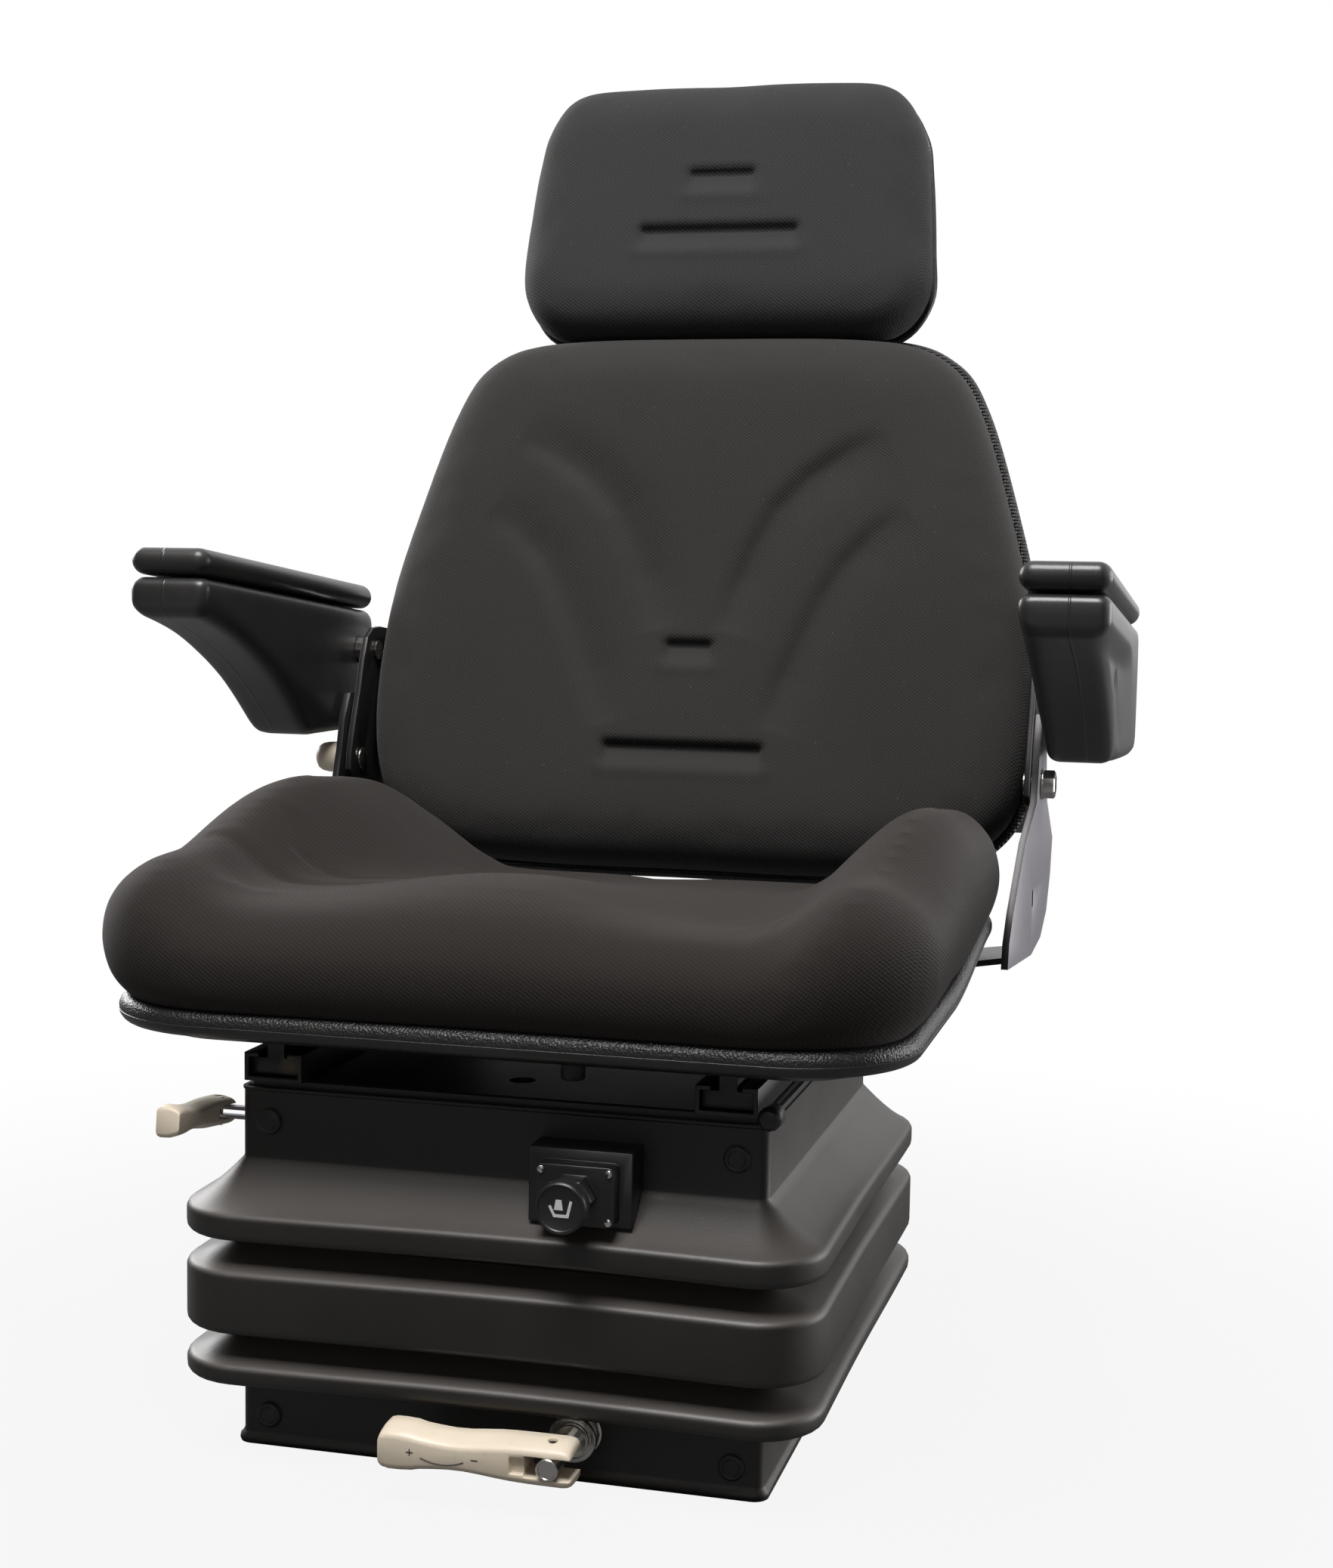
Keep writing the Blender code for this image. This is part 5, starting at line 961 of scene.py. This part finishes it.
def cushion_folds(spots):
    top = np.clip((spots[:, 2] - 0.285) / 0.02, 0, 1)
    drop = np.zeros(len(spots))
    for line, depth, left, right in WRINKLES:
        drop += depth * crease(spots[:, :2], line, left, right, 0.12, 0.6)
    return -drop * top


cushion = loft("cushion_cover", [cushion_ring(*step) for step in CUSHION_FLANK + CUSHION_TOP])
stuffed(cushion, 0.0028, lambda spots: np.clip((spots[:, 2] - 0.252) / 0.02, 0, 1))
reshape(cushion, 2, cushion_folds)
dress(cushion, fabric, "seat_frame", "seat_fabric", "seat_cushion", angle=80)


# Side brackets, back plates and crossbar: pressed steel with a grey plated finish, their cut
# edges rounded, bolted at the recline pivot; the faces of brackets and plates turned in towards
# the seat carry painted shade and are near black.
for word in ("left", "right"):
    finished("side_bracket_" + word, 0.0010, bracket_steel, "seat_frame", "bracket_steel", 3)
    finished("back_plate_" + word, 0.0008, bracket_steel, "backrest", "bracket_steel")
    finished("pivot_bolt_" + word, 0.0006, bright_steel, "backrest", "bright_steel")
pale_steel = paint("pale plated strip", (0.60, 0.59, 0.61), 0.42)
CROSSBAR_FOOT = 0.2890
bar_low, bar_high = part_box("back_crossbar")


def lifted(spots):
    """The strip's foot stands higher than its solid, so that light shows under the backrest."""
    share = (spots[:, 2] - bar_low.z) / (bar_high.z - bar_low.z)
    return (1 - share) * (CROSSBAR_FOOT - bar_low.z)


dress(reshape(softened("back_crossbar", 0.0008), 2, lifted), pale_steel, "backrest", "bracket_steel",
      "back_crossbar")

# Clamp knob: a rounded cream knob on the left end of the recline pivot.
CLAMP_PLACE = (-0.2510, 0.245, 0.353)
CLAMP_STEPS = ((0.0076, 0.0), (0.0096, 0.0006), (0.0108, 0.0030), (0.0110, 0.0070), (0.0108, 0.0115),
               (0.0100, 0.0155), (0.0086, 0.0180), (0.0060, 0.0196), (0.0010, 0.0200))
dress(turned("clamp_knob", CLAMP_STEPS, CLAMP_PLACE, "-X"), cream, "recline_knob_set", "cream_plastic",
      "recline_knob")


# Backrest: a moulded black shell behind a foam pad whose cloth is pressed into a double V and
# two short bars, with a ribbed piping where pad and shell meet.
BACK_RIM = 0.045
BACK_DEEP = 0.083
SHELL_OUTLINE = ((0.0, 0.015), (0.100, 0.015), (0.168, 0.019), (0.211, 0.037), (0.230, 0.066),
                 (0.236, 0.120), (0.231, 0.192), (0.214, 0.262), (0.190, 0.332),
                 (0.166, 0.366), (0.120, 0.381), (0.0, 0.384))
PAD_OUTLINE = ((0.0, 0.003), (0.100, 0.003), (0.174, 0.009), (0.217, 0.034), (0.2345, 0.070),
               (0.2395, 0.122), (0.2335, 0.192), (0.2160, 0.262), (0.192, 0.334),
               (0.168, 0.369), (0.121, 0.385), (0.0, 0.388))


def flowing(points, steps):
    """A smooth line through the points, from the second to the last but one."""
    spots = [Vector(point) for point in points]
    line = []
    for a, b, c, d in zip(spots, spots[1:], spots[2:], spots[3:]):
        for k in range(steps):
            t = k / steps
            line.append(tuple(0.5 * (2 * b + (c - a) * t + (2 * a - 5 * b + 4 * c - d) * t**2
                                     + (3 * b - a - 3 * c + d) * t**3)))
    return line


def round_about(half, steps):
    """A smooth closed outline from its right half, bottom centre first."""
    ring = [*half, *((-x, h) for x, h in reversed(half[1:-1]))]
    return flowing(ring[-1:] + ring + ring[:2], steps)


def drawn_in(outline, distance):
    """Each point of a counter-clockwise outline moved inwards, square to its neighbours."""
    moved = []
    for i, point in enumerate(outline):
        before = Vector(outline[i - 1])
        along = (Vector(outline[(i + 1) % len(outline)]) - before).normalized()
        moved.append((point[0] - along.y * distance, point[1] + along.x * distance))
    return moved


def upright(outline, steps):
    """Rings of an upright piece, one for each (inset, depth)."""
    return [[(x, depth, h) for x, h in drawn_in(outline, gap)] for gap, depth in steps]


def pad_rings(outline, edge, middle):
    """Rings of an upright pad: round its edge, then across its face to a height in its middle."""
    rings = upright(outline, edge)
    gap, depth = edge[-1]
    for share in (0.90, 0.78, 0.64, 0.50, 0.36, 0.22, 0.08):
        rings.append([(x * share, depth - 0.0006, middle + (h - middle) * share)
                      for x, h in drawn_in(outline, gap)])
    return rings


def leaned(piece):
    """Turns a piece modelled upright, depth along Y, into the backrest's place."""
    piece.data.transform(Matrix.Translation((0, *BACK_FOOT)) @ Matrix.Rotation(-LEAN, 4, "X"))
    return piece


def leaning_pad(name, rings, cap, rim, press, cloth, body, node):
    """A stuffed and pressed pad, held behind its rim's depth, in the backrest's lean."""
    pad = loft(name, rings)
    stuffed(pad, cap, lambda spots: np.clip((rim - spots[:, 1]) / 0.01, 0, 1))
    leaned(reshape(pad, 1, press))
    dress(pad, cloth, body, "seat_fabric", node, angle=80)


# The pressed lines, right half, from the top down, with depth, and widths above and below.
INNER_V = ((0.132, 0.306), (0.106, 0.295), (0.080, 0.277), (0.058, 0.254), (0.044, 0.226),
           (0.033, 0.197), (0.026, 0.168))
OUTER_V = ((0.150, 0.252), (0.128, 0.238), (0.108, 0.216), (0.094, 0.192), (0.081, 0.163),
           (0.070, 0.134), (0.060, 0.100))
# Pressed bars, as (half length, height, depth).
BACK_BARS = ((0.0135, 0.1585, 0.0052), (0.0535, 0.0860, 0.0060))


def bar_press(flat, bars):
    """Depth of pressed bars: steep above the line, slow below it."""
    depth = np.zeros(len(flat))
    for half, centre, deep in bars:
        beside = np.maximum(np.abs(flat[:, 0]) - half, 0)
        above = flat[:, 1] - centre
        wide = np.where(above > 0, 0.0036, 0.0120)
        depth += deep * np.exp(-(above / wide) ** 2 - (beside / 0.0042) ** 2)
        depth -= 0.0012 * np.exp(-((above + 0.0160) / 0.0055) ** 2 - (beside / 0.0090) ** 2)
    return depth


def back_press(spots):
    """The backrest's pressed lines and side bolsters, as depth into its face."""
    flat = spots[:, (0, 2)]
    front = np.clip((0.030 - spots[:, 1]) / 0.02, 0, 1)
    depth = bar_press(flat, BACK_BARS)
    for line, deep, steep, slow in ((INNER_V, 0.0052, 0.009, 0.020), (OUTER_V, 0.0046, 0.009, 0.019)):
        mirrored = [(-x, h) for x, h in reversed(line)]
        depth += deep * crease(flat, mirrored, steep, slow, 0.22, 0.7)
        depth += deep * crease(flat, line, slow, steep, 0.22, 0.7)
    bolster = -0.0040 * np.exp(-((np.abs(flat[:, 0]) - 0.165) / 0.030) ** 2)
    bolster *= np.exp(-((flat[:, 1] - 0.20) / 0.11) ** 2)
    hollow = 0.0030 * np.exp(-((flat[:, 1] - 0.22) / 0.09) ** 2) * np.exp(-(flat[:, 0] / 0.10) ** 2)
    return (depth + bolster + hollow) * front


# Round a pad's edge from the rear to the face, as (inset, depth).
BACK_EDGE = ((0.0300, 0.077), (0.0150, 0.070), (0.0070, 0.060), (0.0048, BACK_RIM + 0.001),
             (0.0008, BACK_RIM - 0.002), (-0.0010, 0.034), (0.0, 0.024), (0.0035, 0.015),
             (0.0090, 0.008), (0.0170, 0.0035), (0.0270, 0.0012), (0.0400, 0.0004))
back_cloth = woven("back cloth", (0.0210, 0.0198, 0.0192), (0.0330, 0.0312, 0.0300),
                   [(half, FOOT_ALONG + centre) for half, centre, deep in BACK_BARS])
leaning_pad("back_cover", pad_rings(round_about(PAD_OUTLINE, 6), BACK_EDGE, 0.195), 0.0022, 0.040,
            back_press, back_cloth, "backrest", "back_cushion")

grained_black = paint("grained black plastic", (0.0095, 0.0095, 0.0100), 0.36)
leather_grain = grained_black.node("TexVoronoi", {"feature": "DISTANCE_TO_EDGE"},
                                   {"Vector": grained_black.place(), "Scale": 260.0})
grained_black.set(Normal=grained_black.relief(leather_grain, 0.00035, 0.6))
shell_steps = ((0.0, BACK_RIM), (0.0, 0.050), (0.0, 0.060), (0.0022, 0.066), (0.0070, 0.0725),
               (0.0140, 0.0775), (0.0230, 0.0810), (0.0340, BACK_DEEP), (0.0480, BACK_DEEP - 0.0002),
               (0.0510, BACK_DEEP - 0.0012), (0.0540, BACK_DEEP - 0.0030), (0.0600, BACK_DEEP - 0.0032))
lining_steps = tuple((gap + 0.0024, depth - 0.0032) for gap, depth in reversed(shell_steps))
shell = loft("back_shell_moulding", upright(round_about(SHELL_OUTLINE, 6), lining_steps + shell_steps))
dress(leaned(shell), grained_black, "backrest", "black_plastic", "back_shell")

piping_steps = [(-gap, depth) for gap, depth in arc((0.0010, BACK_RIM - 0.0005), 0.0034, 0, 330, 11)]
piping = upright(round_about(PAD_OUTLINE, 10), piping_steps)
ribbed = paint("ribbed piping", (0.034, 0.033, 0.033), 0.34)
upward_ribs = (ribbed.axis((0, math.sin(LEAN), math.cos(LEAN))) * 2600.0).sine()
ribs = upward_ribs + (ribbed.axis((1, 0, 0)) * 2600.0).sine()
ribbed.set(Normal=ribbed.relief(ribs, 0.00035, 1.0))
dress(leaned(loft("back_piping", piping, closed=True)), ribbed, "backrest", "pan_vinyl")


# Headrest: a pad with two pressed bars on a black shell, carried by two posts.
HEAD_FOOT = 0.386
HEAD_TALL = 0.191
HEAD_FRONT = 0.004
HEAD_DEEP = 0.056
HEAD_OUTLINE = ((0.0, 0.0), (0.090, 0.0), (0.130, 0.006), (0.150, 0.034), (0.1495, 0.072),
                (0.145, HEAD_TALL - 0.065), (0.139, HEAD_TALL - 0.033), (0.118, HEAD_TALL - 0.006),
                (0.070, HEAD_TALL - 0.0005), (0.0, HEAD_TALL))
HEAD_BARS = ((0.0208, 0.5015, 0.0040), (0.0545, 0.4600, 0.0048))
head_line = [(x, h + HEAD_FOOT) for x, h in round_about(HEAD_OUTLINE, 6)]


def head_press(spots):
    front = np.clip((0.034 - spots[:, 1]) / 0.02, 0, 1)
    return bar_press(spots[:, (0, 2)], HEAD_BARS) * front


split = HEAD_FRONT + HEAD_DEEP - 0.006
HEAD_EDGE = ((0.012, split - 0.001), (0.0040, split - 0.001), (0.0010, split - 0.006),
             (-0.0005, split - 0.016), (0.0, 0.030), (0.0020, 0.022), (0.0060, 0.0150),
             (0.0120, 0.0095), (0.0200, 0.0062), (0.0300, 0.0046))
head_cloth = woven("headrest cloth", (0.0225, 0.0220, 0.0218), (0.0330, 0.0322, 0.0320),
                   [(half, FOOT_ALONG + centre) for half, centre, deep in HEAD_BARS])
leaning_pad("headrest_cover", pad_rings(head_line, HEAD_EDGE, HEAD_FOOT + 0.095), 0.0014, 0.046,
            head_press, head_cloth, "headrest", "headrest_cushion")
HEAD_SHELL = ((0.0060, split - 0.002), (0.0006, split - 0.0016), (-0.0004, split), (0.0006, split + 0.0035),
              (0.0040, split + 0.0075), (0.0100, split + 0.0105), (0.0200, split + 0.0130),
              (0.0300, split + 0.0140))
dress(leaned(loft("headrest_shell_moulding", upright(head_line, HEAD_SHELL))), grained_black,
      "headrest", "black_plastic", "headrest_shell")


# Armrests: one-piece mouldings in black skinned foam, a flat pad over a groove, a blunt nose and
# a body that sweeps down and back to the hinge, with a scooped outer side and a mould seam.
ARM_X = 0.252
ARM_WIDE = 0.054
ARM_FRONT = 0.036
ARM_REAR = 0.298
ARM_HEIGHT = 0.5005
ARM_SLOPE = (0.4760 - ARM_HEIGHT) / (ARM_REAR - ARM_FRONT)
FLANK_RADIUS = 0.0068
FLANK_STEPS = 9
PAD_THICK = 0.0172
PAD_REAR = 0.3045
PAD_CORNER = 0.0088
NOSE_FRONT = 0.0212
BODY_TOP = PAD_THICK + 0.0012
BODY_GAP = 0.004
BODY_VOXEL = 0.0022


def pad_top(y):
    return ARM_HEIGHT + ARM_SLOPE * (y - ARM_FRONT)


def across(profile):
    """Rings of a side view carried across the arm's width, its flanks rounded."""
    half = ARM_WIDE / 2
    stations = sorted((-half + FLANK_RADIUS * (1 - math.cos(math.pi / 2 * k / FLANK_STEPS)),
                       FLANK_RADIUS * (1 - math.sin(math.pi / 2 * k / FLANK_STEPS)))
                      for k in range(FLANK_STEPS + 1))
    middle = [(FLANK_RADIUS - half + (ARM_WIDE - 2 * FLANK_RADIUS) * k / 24, 0.0) for k in range(1, 24)]
    line = stations + middle + [(-x, gap) for x, gap in reversed(stations)]
    return [[(x, y, z) for y, z in drawn_in(profile, gap)] for x, gap in line]


def pad_layers():
    """The flat pad: rounded rectangles stacked on the slope, their edge a half circle."""
    middle, half = (NOSE_FRONT + PAD_REAR) / 2, (PAD_REAR - NOSE_FRONT) / 2
    radius = PAD_THICK / 2
    edge = [(radius - x, z) for x, z in arc((0.0, 0.0), radius, -90, 90, 14)]
    layers = []
    for gap, level in [(0.017, -radius)] + edge + [(0.017, radius)]:
        line = rounded(ARM_WIDE / 2 - gap, half - gap, max(PAD_CORNER - gap, 0.0012), 8, 10, (0, middle))
        layers.append([(x, y, pad_top(y) - radius + level) for x, y in line])
    return layers


# The body's lower line from its nose to its heel, as (y, z).
UNDERSIDE = ((0.0430, 0.4530), (0.0600, 0.4478), (0.0780, 0.4415), (0.0980, 0.4330), (0.1180, 0.4235),
             (0.1380, 0.4125), (0.1560, 0.4005), (0.1720, 0.3885), (0.1840, 0.3790), (0.1930, 0.3736),
             (0.2030, 0.3716))
nose_top = pad_top(0.030) - BODY_TOP
body_corners = [(ARM_REAR, pad_top(ARM_REAR) - BODY_TOP), (0.045, pad_top(0.045) - BODY_TOP)]
body_corners += [(y, z + nose_top) for y, z in arc((NOSE_FRONT + 0.0070, -0.0070), 0.0070, 90, 180, 6)]
body_corners += arc((NOSE_FRONT + 0.0120, 0.4680), 0.0120, 180, 248, 8)
body_corners += flowing((UNDERSIDE[0], *UNDERSIDE, UNDERSIDE[-1]), 4)
body_corners += [UNDERSIDE[-1], (0.2900, 0.3722), (0.2990, 0.3762), (0.3030, 0.3860), (0.3058, 0.4300),
                 (0.3040, 0.4520)]
body_profile = []
for start, end in zip(body_corners, body_corners[1:] + body_corners[:1]):
    body_profile += divided(start, end, max(1, round(math.dist(start, end) / BODY_GAP)))


def softly(values):
    """0 below 0, 1 above 1, smooth between them."""
    share = np.clip(values, 0, 1)
    return share * share * (3 - 2 * share)


def arm_shape(spots):
    """Below its nose the body narrows, most on its outer side, which twists out again to the rear."""
    x, y, z = spots.T
    under = softly((0.474 - 0.45 * (y - 0.03) - z) / 0.022)
    inner = np.clip((-x - 0.006) / 0.014, 0, 1)
    step = softly((0.4665 - 0.10 * (y - 0.03) - z) / 0.016)
    back = softly((y + 0.35 * (z - 0.41) - 0.195) / 0.060)
    outer = np.clip((x + 0.012) / 0.034, 0, 1)
    fold = np.clip((0.434 - z) / 0.012, 0, 1) * np.clip((x - 0.010) / 0.010, 0, 1)
    fold *= np.exp(-((y - 0.166 - 0.75 * (0.43 - z)) / 0.0105) ** 2)
    return 0.0036 * under * inner - 0.0058 * step * (1 - back) * outer - 0.0050 * fold


skin_foam = material("skinned foam")
mould_cloud = skin_foam.noise(14.0, 5.0, 0.6)
mould_fine = skin_foam.noise(650.0, 2.0)
rub = skin_foam.noise(45.0, 6.0, 0.7).step(0.58, 0.80)
SEAM_X = ARM_X + ARM_WIDE / 2 + 0.003
seam = 1.0 - (skin_foam.axis((1, 0, 0)).size() - SEAM_X).size().step(0.0002, 0.0010)
# Painted light: the outer sides, and the front faces below the nose, get a paler colour where the lamps fall
# on the arms.
outer_side = (skin_foam.facing("X") * skin_foam.axis((1, 0, 0))).step(0.10, 0.26)
front_side = (skin_foam.facing("Y") * -1.0).step(0.25, 0.85)
below_nose = 1.0 - skin_foam.axis((0, 0, 1)).step(0.455, 0.470)
painted_light_share = outer_side.sum("MAXIMUM", outer_side, front_side * below_nose * 0.55)
foam_tone = skin_foam.between(mould_cloud * 0.7 + rub * 0.3, (0.0150, 0.0142, 0.0140),
                              (0.046, 0.0435, 0.0420))
skin_foam.set(Base_Color=skin_foam.between(painted_light_share * (0.45 + mould_cloud * 0.9), foam_tone,
                                           (0.135, 0.128, 0.128)),
              Roughness=0.27 + mould_cloud * 0.14,
              Normal=skin_foam.relief(mould_fine + mould_cloud * 5.0 + seam * 4.0, 0.00010, 0.6))
for hand, word in ((-1, "left"), (1, "right")):
    pad = loft("pad", pad_layers())
    body = loft("body", across(body_profile))
    apply(body, "REMESH", mode="VOXEL", voxel_size=BODY_VOXEL)
    apply(body, "SMOOTH", factor=0.5, iterations=3)
    reshape(body, 0, arm_shape)
    apply(body, "SMOOTH", factor=0.5, iterations=3)
    whole = joined("armrest_moulding_" + word, [body, pad])
    if hand < 0:
        whole.data.transform(Matrix.Scale(-1, 4, (1, 0, 0)))
        whole.data.flip_normals()
    whole.data.transform(Matrix.Translation((hand * (ARM_X + ARM_WIDE / 2), 0, 0)))
    dress(whole, skin_foam, word + "_armrest", "armrest_foam", "armrest_" + word, angle=60)
